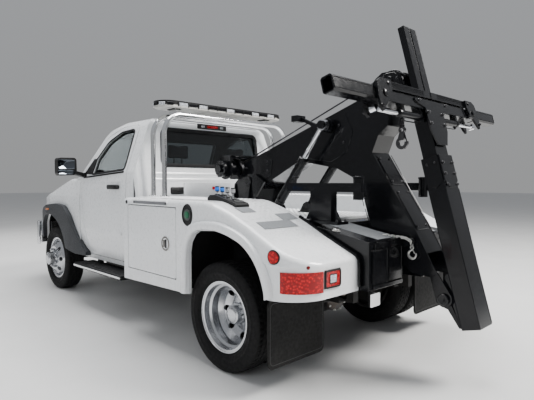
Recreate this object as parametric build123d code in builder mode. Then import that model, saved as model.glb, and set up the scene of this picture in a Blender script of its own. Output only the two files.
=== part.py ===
from build123d import *
import os
from math import cos, sin, radians

os.makedirs("parts", exist_ok=True)

# ---------------------------------------------------------------- driving dimensions (mm)
# The truck faces -Y, +X is its left side, Z = 0 is the ground. R is the Y of the rear axle, so that the whole truck is centred on the origin.
R = 1590.0                      # rear axle, Y
WHEELBASE = 3670.0
F = R - WHEELBASE               # front axle, Y
TYRE_R, TYRE_W = 405.0, 225.0   # tyre outer radius, section width
RIM_LIP_R = 262.0
FRONT_X = 858.0                 # centre of a front tyre
REAR_OUT_X, REAR_IN_X = 1037.0, 769.0   # centres of the twin tyres
WHEEL_OFFSET = 132.0            # rim centre to mounting face
KING_X = 735.0                  # steering pivot
RAIL_X, RAIL_Z0, RAIL_Z1 = 432.0, 600.0, 800.0
BODY_X = 1200.0                 # half width of the recovery body
CAB_X = 1003.0                  # half width of the cab
CAB_WALL = 48.0
GAP = 7.0
SKIN = 30.0                     # recovery body panel thickness
BOOM_X, BOOM_PLATE = 120.0, 12.0
BOOM_PIVOT = (R - 800.0, 1400.0)
FOLD_PIVOT = (R + 1195.0, 575.0)
LIFT_BASE = (R - 330.0, 1165.0)
LIFT_EYE = (R + 200.0, 1860.0)
LIFT_X = 230.0
LEAN = 15.0                     # degrees that the stowed stinger leans towards the cab
T_Y, T_Z = R + 1442.0, 408.0    # lower rear edge of the stinger
TUBE_W, TUBE_D, TUBE_L = 200.0, 130.0, 1220.0
CLAW_X, CLAW_S = 660.0, 1595.0  # claw pivot on the crossbar, along x and up the stinger

# plane of the stinger's rear face: local x = X, local y = up the stinger, extrusion goes towards the cab
T = Plane(origin=(0, T_Y, T_Z), x_dir=(1, 0, 0), z_dir=(0, -cos(radians(LEAN)), -sin(radians(LEAN))))


def side(x):
    """Plane seen from the left: local x = Y, local y = Z, extruded towards +X from x."""
    return Plane(origin=(x, 0, 0), x_dir=(0, 1, 0), z_dir=(1, 0, 0))


def up(n, s):
    """(Y, Z) of a point of the stinger: n behind its rear face, s up along it."""
    c, k = cos(radians(LEAN)), sin(radians(LEAN))
    return (T_Y + n * c - s * k, T_Z + n * k + s * c)


def rounded(rows):
    """Closed outline of (a, b, corner radius)."""
    return FilletPolyline(*[(a, b) for a, b, r in rows], radius=[r for a, b, r in rows], close=True)


def mirrored(rows):
    """A half outline (x, b, corner radius) and its mirror image."""
    return rows + [(-a, b, r) for a, b, r in reversed(rows)]


def at(points, y0=R):
    """Points (distance behind y0, height) as (Y, Z)."""
    return [(y0 + y, z) for y, z in points]


# ---------------------------------------------------------------- wheels
# rim section: (along the axle from the rim centre, outwards positive; radius)
RIM = [(-88, 262), (-80, 262), (-76, 247), (-30, 243), (-20, 225), (20, 225), (30, 243), (76, 247), (80, 262), (88, 262),
       (88, 254), (84, 254), (80, 239), (34, 235), (24, 217), (-24, 217), (-34, 235), (-80, 239), (-84, 254), (-88, 254)]
# dished disc, from the barrel to the mounting face
DISC = [(40, 236), (52, 236), (100, 205), (122, 165), (132, 150), (132, 60), (120, 60), (120, 146), (110, 158), (90, 196), (44, 226)]
TYRE = [(-75, 248), (-77, 266), (-98, 286), (-112, 326), (-110, 366), (-99, 392), (-72, 405), (72, 405), (99, 392), (110, 366), (112, 326), (98, 286), (77, 266), (75, 248)]


def axle_plane(y):
    """Local x = X, local y = height above the axle."""
    return Plane(origin=(0, y, TYRE_R), x_dir=(1, 0, 0), z_dir=(0, -1, 0))


def section(points, centre, hand):
    return [(centre + hand * a, r) for a, r in points]


for name, hand in (("left", 1), ("right", -1)):
    spin = Axis((0, F, TYRE_R), (1, 0, 0))
    with BuildPart() as tyre:
        with BuildSketch(axle_plane(F)):
            with BuildLine():
                Polyline(*section(TYRE, hand * FRONT_X, hand), close=True)
            make_face()
        revolve(axis=spin)
    tyre.part.label = "front_tyre_" + name
    export_step(tyre.part, "parts/front_tyre_" + name + ".step")

    with BuildPart() as wheel:
        with BuildSketch(axle_plane(F)):
            for outline in (RIM, DISC):
                with BuildLine():
                    Polyline(*section(outline, hand * FRONT_X, hand), close=True)
                make_face()
            # hub with its bore for the spindle, and the long cover
            with BuildLine():
                Polyline(*section([(-40, 36), (-40, 75), (132, 75), (132, 86), (205, 80), (217, 60), (217, 0), (88, 0), (88, 36)], hand * FRONT_X, hand), close=True)
            make_face()
        revolve(axis=spin)
        with BuildSketch(side(hand * FRONT_X)):
            with Locations((F, TYRE_R)):
                with PolarLocations(178, 8):
                    Circle(24)
        extrude(amount=hand * 160, mode=Mode.SUBTRACT)
    wheel.part.label = "front_wheel_" + name
    export_step(wheel.part, "parts/front_wheel_" + name + ".step")

    spin = Axis((0, R, TYRE_R), (1, 0, 0))
    with BuildPart() as tyre:
        with BuildSketch(axle_plane(R)):
            for centre in (REAR_OUT_X, REAR_IN_X):
                with BuildLine():
                    Polyline(*section(TYRE, hand * centre, hand), close=True)
                make_face()
        revolve(axis=spin)
    tyre.part.label = "rear_tyres_" + name
    export_step(tyre.part, "parts/rear_tyres_" + name + ".step")

    with BuildPart() as wheel:
        with BuildSketch(axle_plane(R)):
            # (rim centre, hand of the dish): the outer wheel is dished inwards, the inner one outwards, and they meet at the hub
            for centre, dish in ((REAR_OUT_X, -1), (REAR_IN_X, 1)):
                for outline in (RIM, DISC):
                    with BuildLine():
                        Polyline(*section(outline, hand * centre, hand * dish), close=True)
                    make_face()
            with BuildLine():
                Polyline(*[(hand * a, r) for a, r in [(830, 52), (830, 95), (905, 95), (905, 78), (1010, 78), (1040, 66), (1046, 50), (1046, 0), (985, 0), (985, 52)]], close=True)
            make_face()
        revolve(axis=spin)
        with BuildSketch(side(hand * 810)):
            with Locations((R, TYRE_R)):
                with PolarLocations(178, 8):
                    Circle(24)
        extrude(amount=hand * 200, mode=Mode.SUBTRACT)
    wheel.part.label = "rear_wheels_" + name
    export_step(wheel.part, "parts/rear_wheels_" + name + ".step")

# ---------------------------------------------------------------- knuckles, axles, frame, powertrain
for name, hand in (("left", 1), ("right", -1)):
    with BuildPart() as knuckle:
        with BuildSketch(Plane.XY.offset(TYRE_R - 85)):
            with Locations((hand * KING_X, F)):
                Circle(40)
        extrude(amount=170)
        with BuildSketch(side(hand * KING_X)):
            with Locations((F, TYRE_R)):
                Circle(62)
        extrude(amount=hand * 75)
        with BuildSketch(side(hand * KING_X)):
            with Locations((F, TYRE_R)):
                Circle(34)
        extrude(amount=hand * 200)
        with BuildSketch(Plane.XY.offset(TYRE_R - 75)):
            with BuildLine():
                Polyline((hand * (KING_X - 30), F), (hand * (KING_X + 30), F), (hand * (KING_X - 60), F + 190), (hand * (KING_X - 100), F + 190), close=True)
            make_face()
        extrude(amount=24)
    knuckle.part.label = "knuckle_" + name
    export_step(knuckle.part, "parts/knuckle_" + name + ".step")

with BuildPart() as front_axle:
    with BuildSketch(side(-KING_X + 80)):
        with Locations((F, TYRE_R)):
            Circle(42)
    extrude(amount=2 * KING_X - 160)
    # housing of the driven axle, to the right of the middle
    with BuildSketch(side(-330)):
        with Locations((F, TYRE_R)):
            Circle(105)
    extrude(amount=190)
    for hand in (1, -1):
        # yoke: two ears that hold the knuckle
        for z in (TYRE_R - 130, TYRE_R + 95):
            with BuildSketch(Plane.XY.offset(z)):
                with BuildLine():
                    Polyline((hand * (KING_X - 98), F - 48), (hand * (KING_X + 28), F - 48), (hand * (KING_X + 28), F + 48), (hand * (KING_X - 98), F + 48), close=True)
                make_face()
            extrude(amount=35)
        with BuildSketch(side(hand * (KING_X - 100))):
            with Locations((F, TYRE_R)):
                Rectangle(104, 264)
        extrude(amount=hand * 40)
        # notch in the yoke for the steering arm's swing
        with BuildSketch(Plane.XY.offset(TYRE_R - 88)):
            with Locations((hand * (KING_X - 80), F + 28)):
                Rectangle(46, 60)
        extrude(amount=45, mode=Mode.SUBTRACT)
        # spring seat and coil bump tower up to the rail
        with BuildSketch(Plane.XY.offset(TYRE_R + 30)):
            with Locations((hand * 385, F)):
                Circle(58)
        extrude(amount=RAIL_Z0 - TYRE_R - 30)
        # radius arm back to the frame
        with BuildSketch(side(hand * 385 - 22)):
            with BuildLine():
                Polyline(*at([(-64, 384), (-64, 424), (60, 424), (690, 596), (750, 596), (750, 560), (690, 545), (60, 384)], F), close=True)
            make_face()
        extrude(amount=44)
front_axle.part.label = "front_axle"
export_step(front_axle.part, "parts/front_axle.step")

with BuildPart() as rear_axle:
    with BuildSketch(side(-820)):
        with Locations((R, TYRE_R)):
            Circle(62)
    extrude(amount=1640)
    with BuildSketch(side(-975)):
        with Locations((R, TYRE_R)):
            Circle(50)
    extrude(amount=1950)
    with BuildSketch(side(-130)):
        with Locations((R, TYRE_R)):
            Circle(165)
    extrude(amount=260)
    for hand in (1, -1):
        with BuildSketch(side(hand * 690)):
            with Locations((R, TYRE_R)):
                Circle(195)
        extrude(amount=hand * 100)
        # leaf spring pack under the rail, with its two hangers
        for half, z, t in ((640, 500, 22), (520, 478, 22), (380, 456, 22)):
            with BuildSketch(Plane.XY.offset(z)):
                with Locations((hand * 395, R)):
                    Rectangle(66, 2 * half)
            extrude(amount=t)
        for y in (-620, 620):
            with BuildSketch(Plane.XY.offset(500)):
                with Locations((hand * 395, R + y)):
                    Rectangle(60, 60)
            extrude(amount=RAIL_Z0 - 500)
rear_axle.part.label = "rear_axle"
export_step(rear_axle.part, "parts/rear_axle.step")

with BuildPart() as frame:
    for hand in (1, -1):
        # channel rail: web outside, flanges towards the middle
        with BuildSketch(Plane.XZ.offset(-(R + 315))):
            with BuildLine():
                Polyline(*[(hand * x, z) for x, z in [(432, 600), (432, 800), (356, 800), (356, 788), (420, 788), (420, 612), (356, 612), (356, 600)]], close=True)
            make_face()
        extrude(amount=4725)
        # pads under the cab
        for y in (-2700, -1750):
            with BuildSketch(Plane.XY.offset(800)):
                with Locations((hand * 394, R + y)):
                    Circle(36)
            extrude(amount=12)
    # (y, half depth) of the cross members
    for y, half in ((-4370, 30), (-2260, 40), (-1450, 35), (-900, 35), (-60, 30), (270, 35)):
        with BuildSketch(Plane.XY.offset(650)):
            with Locations((0, R + y)):
                Rectangle(842, 2 * half)
        extrude(amount=110)
    # fuel tank beside the left rail, on its straps
    with BuildSketch(side(432)):
        with BuildLine():
            Polyline(*at([(-2650, 380), (-2600, 340), (-1700, 340), (-1640, 390), (-1640, 590), (-1700, 620), (-2600, 620), (-2650, 580)]), close=True)
        make_face()
    extrude(amount=330)
frame.part.label = "chassis_frame"
export_step(frame.part, "parts/chassis_frame.step")

with BuildPart() as powertrain:
    with BuildSketch(Plane.XY.offset(560)):
        with Locations((0, F + 80)):
            Rectangle(600, 880)
    extrude(amount=560)
    # gearbox and transfer case: (ahead end and length behind the front axle, radius)
    for y, length, r in ((520, 300, 165), (820, 480, 120)):
        with BuildSketch(Plane.XZ.offset(-(F + y))):
            with Locations((0, 600)):
                Circle(r)
        extrude(amount=-length)
    # propeller shaft down to the rear axle
    with BuildLine() as shaft_line:
        Line((0, F + 1290, 600), (0, R - 186, 440))
    with BuildSketch(Plane(origin=shaft_line.line @ 0, z_dir=shaft_line.line % 0)):
        Circle(42)
    sweep(path=shaft_line.line)
    # exhaust on the right: down from the engine, silencer, tail pipe ahead of the rear wheel
    with BuildLine() as pipe_line:
        FilletPolyline((-250, F + 430, 600), (-250, F + 900, 540), (-545, F + 1250, 500), (-545, F + 2400, 465), (-720, F + 2860, 430), (-1110, F + 2930, 420), radius=90)
    with BuildSketch(Plane(origin=pipe_line.line @ 0, z_dir=pipe_line.line % 0)):
        Circle(38)
    sweep(path=pipe_line.line)
    with BuildSketch(Plane.XZ.offset(-(F + 1420))):
        with Locations((-545, 484)):
            Circle(92)
    extrude(amount=-640)
powertrain.part.label = "powertrain"
export_step(powertrain.part, "parts/powertrain.step")

# ---------------------------------------------------------------- cab
FLOOR_Z = 812.0                 # underside of the cab floor, above the rails
# outlines with corner radii: side (behind the rear axle, height, radius), front (half: x, height, radius), plan (half: x, behind the rear axle, radius)
CAB_SIDE = [(-1530, 520, 0), (-1530, 1280, 200), (-1590, 2020, 70), (-1700, 2058, 150), (-2080, 2052, 500), (-2430, 1940, 260), (-2775, 1480, 60), (-2950, 1430, 0), (-2950, 520, 0)]
CAB_FRONT = [(940, 520, 0), (975, 660, 80), (CAB_X, 860, 150), (CAB_X, 1300, 500), (985, 1490, 70), (800, 1975, 70), (735, 2040, 90), (600, 2060, 300)]
CAB_PLAN = [(1010, -3000, 0), (1010, -1530, 110)]
# side wall band, from outside to just within its inner face: (x, height)
WALL_BAND = [(1040, 480), (1040, 1500), (860, 2010), (733, 1965), (916, 1472), (934, 1290), (934, 860), (906, 670), (872, 480)]
# door outline and its window, seen from the side (behind the rear axle, height, radius)
DOOR = [(-2612, 575, 60), (-1705, 575, 90), (-1690, 1300, 0), (-1740, 1925, 50), (-1800, 1990, 60), (-2090, 1985, 300), (-2400, 1885, 200), (-2722, 1460, 20), (-2793, 1415, 20)]
# the door itself leaves a wider shut gap along its upper rear edge, which swings back a little as it opens
DOOR_LEAF = [(-2612, 575, 60), (-1705, 575, 90), (-1693, 1300, 0), (-1750, 1925, 50), (-1808, 1986, 60), (-2090, 1983, 300), (-2400, 1885, 200), (-2722, 1460, 20), (-2793, 1415, 20)]
DOOR_WINDOW = [(-2485, 1478, 25), (-1762, 1518, 40), (-1822, 1942, 60), (-2100, 1928, 200), (-2340, 1835, 150), (-2492, 1650, 60)]
WINDSHIELD = [(825, 1512, 60), (715, 1905, 60)]
REAR_WINDOW = [(665, 1560, 60), (640, 1945, 60)]


def band(rows, y0=R):
    return [(y0 + y, z, r) for y, z, r in rows]


def prism(plane, rows, depth, both=False):
    """A plain prism of a rounded outline."""
    with BuildPart() as block:
        with BuildSketch(plane):
            with BuildLine():
                rounded(rows)
            make_face()
        extrude(amount=depth, both=both)
    return block.part


def cab_block(inset):
    """The cab's closed outer form, or the same form smaller by inset all round."""
    with BuildPart() as block:
        with BuildSketch(Plane.YZ):
            with BuildLine():
                rounded(band(CAB_SIDE))
            make_face()
            if inset:
                offset(amount=-inset, kind=Kind.INTERSECTION, mode=Mode.REPLACE)
        extrude(amount=1100, both=True)
        with BuildSketch(Plane.XZ.offset(-R)):
            with BuildLine():
                rounded(mirrored(CAB_FRONT))
            make_face()
            if inset:
                offset(amount=-inset, kind=Kind.INTERSECTION, mode=Mode.REPLACE)
        extrude(amount=3200, mode=Mode.INTERSECT)
        with BuildSketch(Plane.XY):
            with BuildLine():
                rounded(mirrored([(x, R + y, r) for x, y, r in CAB_PLAN]))
            make_face()
            if inset:
                offset(amount=-inset, kind=Kind.INTERSECTION, mode=Mode.REPLACE)
        extrude(amount=2300, mode=Mode.INTERSECT)
    return block.part


def wall_band(hand, push):
    """The slab that a side wall lies in, push further towards the middle."""
    with BuildPart() as block:
        with BuildSketch(Plane.XZ.offset(-(R - 1400))):
            with BuildLine():
                Polyline(*[(hand * (x - (push if x < 1000 else 0)), z) for x, z in WALL_BAND], close=True)
            make_face()
        extrude(amount=1700)
    return block.part


windshield_prism = prism(Plane.XZ.offset(-(R - 2270)), mirrored(WINDSHIELD), 690)
rear_window_prism = prism(Plane.XZ.offset(-(R - 1500)), mirrored(REAR_WINDOW), 200)

with BuildPart() as cavity:
    add(cab_block(CAB_WALL))
    with BuildSketch(Plane.XY):
        with Locations((0, R - 2200)):
            Rectangle(2200, 1700)
    extrude(amount=FLOOR_Z + 38, mode=Mode.SUBTRACT)

# door openings, one shut gap larger than the doors
door_openings = {}
for hand in (1, -1):
    with BuildPart() as opening:
        with BuildSketch(Plane.YZ):
            with BuildLine():
                rounded(band(DOOR))
            make_face()
            offset(amount=GAP, kind=Kind.INTERSECTION, mode=Mode.REPLACE)
        extrude(amount=hand * 1200)
        add(wall_band(hand, 12), mode=Mode.INTERSECT)
    door_openings[hand] = opening.part

with BuildPart() as cab_shell:
    add(cab_block(0))
    add(cavity.part, mode=Mode.SUBTRACT)
    # room for the rails, tank and exhaust under the floor, between the two sills
    with BuildSketch(Plane.XY.offset(400)):
        with Locations((0, R - 2240)):
            Rectangle(1720, 1700)
    extrude(amount=FLOOR_Z - 400, mode=Mode.SUBTRACT)
    # the wings cover the sides ahead of the doors
    for hand in (1, -1):
        with BuildSketch(Plane.XY.offset(400)):
            with Locations((hand * 1068, R - 2900)):
                Rectangle(200, 210)
        extrude(amount=1300, mode=Mode.SUBTRACT)
        add(door_openings[hand], mode=Mode.SUBTRACT)
    add(windshield_prism, mode=Mode.SUBTRACT)
    add(rear_window_prism, mode=Mode.SUBTRACT)
cab_shell.part.label = "cab_shell"
export_step(cab_shell.part, "parts/cab_shell.step")

for name, tool in (("windscreen", windshield_prism), ("rear_window", rear_window_prism)):
    with BuildPart() as glass:
        add(cab_block(15))
        add(cab_block(21), mode=Mode.SUBTRACT)
        add(tool, mode=Mode.INTERSECT)
    glass.part.label = name
    export_step(glass.part, "parts/" + name + ".step")

for name, hand in (("left", 1), ("right", -1)):
    with BuildPart() as door:
        add(cab_block(0))
        add(wall_band(hand, 0), mode=Mode.INTERSECT)
        add(prism(side(hand * 500), band(DOOR_LEAF), hand * 600), mode=Mode.INTERSECT)
        add(prism(side(hand * 500), band(DOOR_WINDOW), hand * 600), mode=Mode.SUBTRACT)
    door.part.label = "door_" + name
    export_step(door.part, "parts/door_" + name + ".step")

    with BuildPart() as glass:
        add(cab_block(16))
        add(cab_block(21), mode=Mode.SUBTRACT)
        add(prism(side(hand * 500), band(DOOR_WINDOW), hand * 600), mode=Mode.INTERSECT)
    glass.part.label = "door_glass_" + name
    export_step(glass.part, "parts/door_glass_" + name + ".step")

    # mirror: head, arm and foot on the door's corner, and the pull handle on the same door
    with BuildPart() as mirror:
        with BuildSketch(Plane.XZ.offset(-(R - 2715))):
            with BuildLine():
                rounded([(hand * x, z, r) for x, z, r in [(1066, 1470, 30), (1282, 1463, 45), (1290, 1664, 50), (1070, 1668, 35)]])
            make_face()
        extrude(amount=155)
        with BuildSketch(Plane.XY.offset(1400)):
            with BuildLine():
                rounded([(hand * x, R + y, r) for x, y, r in [(1060, -2714, 0), (1295, -2714, 0), (1288, -2790, 60), (1225, -2871, 40), (1110, -2871, 30), (1064, -2810, 30)]])
            make_face()
        extrude(amount=300, mode=Mode.INTERSECT)
        with BuildSketch(Plane.XZ.offset(-(R - 2630))):
            with BuildLine():
                Polyline(*[(hand * x, z) for x, z in [(990, 1448), (1016, 1444), (1016, 1498), (990, 1498)]], close=True)
            make_face()
        extrude(amount=62)
        with BuildSketch(Plane.XZ.offset(-(R - 2650))):
            with BuildLine():
                Polyline(*[(hand * x, z) for x, z in [(1006, 1450), (1110, 1480), (1110, 1518), (1006, 1494)]], close=True)
            make_face()
        extrude(amount=110)
        with BuildSketch(side(hand * 1006)):
            with Locations((R - 1940, 1340)):
                SlotOverall(240, 46)
        extrude(amount=hand * 22)
    mirror.part.label = "mirror_and_handle_" + name
    export_step(mirror.part, "parts/mirror_and_handle_" + name + ".step")

# bench seat: cushion, back and two head restraints
with BuildPart() as seat:
    with BuildSketch(side(-700)):
        with BuildLine():
            Polyline(*at([(-2230, 1040), (-2230, 1170), (-2180, 1195), (-1790, 1165), (-1700, 1600), (-1632, 1600), (-1615, 1040)]), close=True)
        make_face()
    extrude(amount=1400)
    with BuildSketch(Plane.XY.offset(FLOOR_Z + 39)):
        with Locations((0, R - 1920)):
            Rectangle(1200, 500)
    extrude(amount=200)
    for x in (-400, 400):
        with BuildSketch(Plane.XZ.offset(-(R - 1632))):
            with Locations((x, 1715)):
                RectangleRounded(270, 170, 60)
        extrude(amount=70)
        with BuildSketch(Plane.XY.offset(1595)):
            with Locations((x, R - 1666)):
                Rectangle(120, 24)
        extrude(amount=45)
seat.part.label = "bench_seat"
export_step(seat.part, "parts/bench_seat.step")

with BuildPart() as dashboard:
    with BuildSketch(side(-900)):
        with BuildLine():
            Polyline(*at([(-2895, 1080), (-2895, 1362), (-2790, 1398), (-2560, 1430), (-2510, 1320), (-2600, 1150)]), close=True)
        make_face()
    extrude(amount=1800)
    # steering column and wheel
    column = Plane(origin=(400, R - 2560, 1290), x_dir=(1, 0, 0), z_dir=(0, cos(radians(25)), sin(radians(25))))
    with BuildSketch(column):
        Circle(32)
    extrude(amount=250)
    with BuildSketch(column.offset(235)):
        Circle(195)
        Circle(168, mode=Mode.SUBTRACT)
        Rectangle(350, 40)
        Circle(70)
    extrude(amount=28)
dashboard.part.label = "dashboard"
export_step(dashboard.part, "parts/dashboard.step")

# ---------------------------------------------------------------- nose
ARCH_R = 590.0   # front wheel opening
# plan (half: x, behind the rear axle, radius); front section and side outline of the wings, and of the raised bonnet between them
NOSE_PLAN = [(CAB_X + 6, -2812, 0), (CAB_X + 6, -3720, 700), (930, -4080, 500), (840, -4330, 150), (720, -4500, 150), (520, -4545, 200)]
WING_FRONT = [(960, 560, 0), (1000, 700, 100), (1003, 1220, 60), (975, 1440, 60)]
WING_SIDE = [(-2800, 560, 0), (-2800, 1440, 0), (-3080, 1428, 400), (-3420, 1330, 500), (-3700, 1245, 500), (-4000, 1195, 300), (-4330, 1150, 120), (-4470, 1040, 100), (-4545, 840, 0), (-4530, 560, 0)]
BONNET_FRONT = [(790, 1090, 0), (790, 1196, 0), (690, 1372, 90), (560, 1412, 300), (250, 1440, 600)]
BONNET_SIDE = [(-2975, 1090, 0), (-2975, 1440, 0), (-3400, 1412, 900), (-4000, 1345, 900), (-4400, 1240, 150), (-4500, 1160, 60), (-4520, 1090, 0)]
BONNET_PLAN = [(748, -2975, 0), (748, -3600, 300), (690, -4200, 200), (590, -4465, 100)]


def nose_block(front, outline, inset, plan=NOSE_PLAN):
    """A closed form from a plan, a front section and a side outline, or the same form smaller by inset."""
    with BuildPart() as block:
        with BuildSketch(Plane.XY.offset(500)):
            with BuildLine():
                rounded(mirrored([(x, R + y, r) for x, y, r in plan]))
            make_face()
            if inset:
                offset(amount=-inset, kind=Kind.INTERSECTION, mode=Mode.REPLACE)
        extrude(amount=1000)
        with BuildSketch(Plane.XZ.offset(-(R - 2700))):
            with BuildLine():
                rounded(mirrored(front))
            make_face()
            if inset:
                offset(amount=-inset, kind=Kind.INTERSECTION, mode=Mode.REPLACE)
        extrude(amount=2000, mode=Mode.INTERSECT)
        with BuildSketch(Plane.YZ):
            with BuildLine():
                rounded(band(outline))
            make_face()
            if inset:
                offset(amount=-inset, kind=Kind.INTERSECTION, mode=Mode.REPLACE)
        extrude(amount=1100, both=True, mode=Mode.INTERSECT)
    return block.part


with BuildPart() as fenders:
    add(nose_block(WING_FRONT, WING_SIDE, 0))
    add(nose_block(WING_FRONT, WING_SIDE, 28), mode=Mode.SUBTRACT)
    # the cab's place, the open underside, the lower front behind the bumper, and the bonnet's place
    with BuildSketch(Plane.XY.offset(500)):
        with Locations((0, R - 2755)):
            Rectangle(1948, 410)
    extrude(amount=1000, mode=Mode.SUBTRACT)
    with BuildSketch(Plane.XY.offset(500)):
        with Locations((0, R - 3750)):
            Rectangle(1880, 1800)
    extrude(amount=110, mode=Mode.SUBTRACT)
    with BuildSketch(Plane.XY.offset(500)):
        with Locations((0, R - 4500)):
            Rectangle(1500, 300)
    extrude(amount=345, mode=Mode.SUBTRACT)
    with BuildSketch(Plane.XY.offset(1095)):
        with BuildLine():
            rounded(mirrored([(x, R + y, r) for x, y, r in BONNET_PLAN]))
        make_face()
        offset(amount=8, kind=Kind.INTERSECTION, mode=Mode.REPLACE)
        with Locations((0, R - 2800)):
            Rectangle(1512, 400)
    extrude(amount=400, mode=Mode.SUBTRACT)
    with BuildSketch(Plane.YZ):
        with Locations((F, TYRE_R)):
            Circle(ARCH_R)
    extrude(amount=1100, both=True, mode=Mode.SUBTRACT)
    # radiator opening and lamp openings
    with BuildSketch(Plane.XZ.offset(-(R - 4300))):
        with Locations((0, 985)):
            RectangleRounded(1000, 230, 30)
        for hand in (1, -1):
            with Locations((hand * 655, 1010)):
                RectangleRounded(240, 180, 30)
    extrude(amount=350, mode=Mode.SUBTRACT)
    # radiator support across, carried by the wings
    with BuildSketch(Plane.XZ.offset(-(R - 4330))):
        with Locations((0, 960)):
            Rectangle(1640, 250)
        with Locations((0, 960)):
            Rectangle(900, 170, mode=Mode.SUBTRACT)
    extrude(amount=25)
fenders.part.label = "front_wings"
export_step(fenders.part, "parts/front_wings.step")

with BuildPart() as bonnet:
    add(nose_block(BONNET_FRONT, BONNET_SIDE, 0, BONNET_PLAN))
    add(nose_block(BONNET_FRONT, BONNET_SIDE, 26, BONNET_PLAN), mode=Mode.SUBTRACT)
    with BuildSketch(Plane.XY.offset(1000)):
        with Locations((0, R - 3700)):
            Rectangle(1700, 2000)
    extrude(amount=120, mode=Mode.SUBTRACT)
    # open at the back
    with BuildSketch(Plane.XY.offset(1000)):
        with Locations((0, R - 2985)):
            Rectangle(1440, 60)
    extrude(amount=404, mode=Mode.SUBTRACT)
bonnet.part.label = "bonnet"
export_step(bonnet.part, "parts/bonnet.step")

with BuildPart() as grille:
    with BuildSketch(Plane.XZ.offset(-(R - 4470))):
        with Locations((0, 985)):
            RectangleRounded(984, 214, 24)
    extrude(amount=40)
    with BuildSketch(Plane.XZ.offset(-(R - 4400))):
        for hand in (1, -1):
            with Locations((hand * 655, 1010)):
                RectangleRounded(226, 166, 24)
    extrude(amount=60)
    with BuildSketch(Plane.XZ.offset(-(R - 4356))):
        with Locations((0, 985)):
            Rectangle(980, 60)
        for hand in (1, -1):
            with Locations((hand * 655, 1010)):
                Rectangle(100, 90)
    extrude(amount=114)
grille.part.label = "grille_and_headlamps"
export_step(grille.part, "parts/grille_and_headlamps.step")

BUMPER_PLAN = [(972, -4280), (972, -4340), (905, -4500), (640, -4615), (0, -4650)]
with BuildPart() as bumper:
    with BuildSketch(Plane.XY.offset(520)):
        with BuildLine():
            Polyline(*([(x, R + y) for x, y in BUMPER_PLAN] + [(-x, R + y) for x, y in reversed(BUMPER_PLAN[:-1])]
                       + [(-x + 30, R + y + 34) for x, y in BUMPER_PLAN[1:-1]] + [(x - 30, R + y + 34) for x, y in reversed(BUMPER_PLAN[1:-1])]), close=True)
        make_face()
    extrude(amount=325)
    for hand in (1, -1):
        with BuildSketch(Plane.XY.offset(640)):
            with Locations((hand * 394, R - 4506)):
                Rectangle(60, 190)
        extrude(amount=120)
bumper.part.label = "front_bumper"
export_step(bumper.part, "parts/front_bumper.step")

# wheel opening flares: wide behind the wheel, thin ahead of it
FLARE_OUT = [(-602, 640, 0), (-592, 800, 100), (-500, 960, 200), (-330, 1058, 200), (-60, 1100, 300), (250, 1125, 300), (470, 1105, 150), (625, 995, 200), (724, 880, 300), (850, 750, 300), (975, 640, 200), (1040, 596, 0), (1040, 548, 0), (800, 548, 0), (560, 590, 0), (0, 640, 0)]
FLARE_PLAN = [(940, -2630), (CAB_X + 12, -2630), (CAB_X + 34, -2820), (1060, -3020), (1060, -3740), (985, -4085), (915, -4272), (865, -4272), (931, -4082), (CAB_X + 1, -3722), (CAB_X + 1, -2790), (940, -2790)]
with BuildPart() as flare_band:
    for hand in (1, -1):
        with BuildSketch(Plane.XY.offset(400)):
            with BuildLine():
                Polyline(*[(hand * x, R + y) for x, y in FLARE_PLAN], close=True)
            make_face()
        extrude(amount=900)
with BuildPart() as flares:
    with BuildSketch(Plane.YZ):
        with BuildLine():
            rounded(band(FLARE_OUT, F))
        make_face()
        with Locations((F, TYRE_R)):
            Circle(ARCH_R - 12, mode=Mode.SUBTRACT)
    extrude(amount=1100, both=True)
    add(flare_band.part, mode=Mode.INTERSECT)
    add(nose_block(WING_FRONT, WING_SIDE, 0), mode=Mode.SUBTRACT)
    add(cab_block(0), mode=Mode.SUBTRACT)
flares.part.label = "wheel_flares"
export_step(flares.part, "parts/wheel_flares.step")

with BuildPart() as boards:
    for hand in (1, -1):
        with BuildSketch(Plane.XY.offset(430)):
            with BuildLine():
                Polyline(*[(hand * x, R + y) for x, y in [(860, -2760), (1085, -2760), (1115, -2720), (1115, -1600), (860, -1600)]], close=True)
            make_face()
        extrude(amount=42)
        for y in (-2500, -1800):
            with BuildSketch(Plane.XY.offset(472)):
                with Locations((hand * 895, R + y)):
                    Rectangle(50, 60)
            extrude(amount=48)
boards.part.label = "running_boards"
export_step(boards.part, "parts/running_boards.step")

# ---------------------------------------------------------------- rack and light bar behind the cab
RACK_X, RACK_TOP = 830.0, 2048.0
DECK_Z, POD_TOP = 1100.0, 1250.0
with BuildPart() as rack:
    for y in (-1452, -1250):
        with BuildLine() as hoop:
            FilletPolyline((-RACK_X, R + y, POD_TOP), (-RACK_X, R + y, RACK_TOP), (RACK_X, R + y, RACK_TOP), (RACK_X, R + y, POD_TOP), radius=200)
        with BuildSketch(Plane(origin=hoop.line @ 0, z_dir=(0, 0, 1))):
            Circle(25)
        sweep(path=hoop.line)
    # plate between the hoops with three round holes, and the light bar's two arms
    with BuildSketch(Plane.XY.offset(RACK_TOP + 8)):
        with Locations((0, R - 1351)):
            Rectangle(760, 205)
            with GridLocations(220, 1, 3, 1):
                Circle(62, mode=Mode.SUBTRACT)
    extrude(amount=8)
    for x in (-620, 620):
        with BuildSketch(Plane.XY.offset(RACK_TOP)):
            with Locations((x, R - 1351)):
                Rectangle(50, 230)
        extrude(amount=30)
        with BuildSketch(Plane.XY.offset(RACK_TOP + 30)):
            with Locations((x, R - 1400)):
                Rectangle(50, 90)
        extrude(amount=44)
rack.part.label = "headache_rack"
export_step(rack.part, "parts/headache_rack.step")

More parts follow.
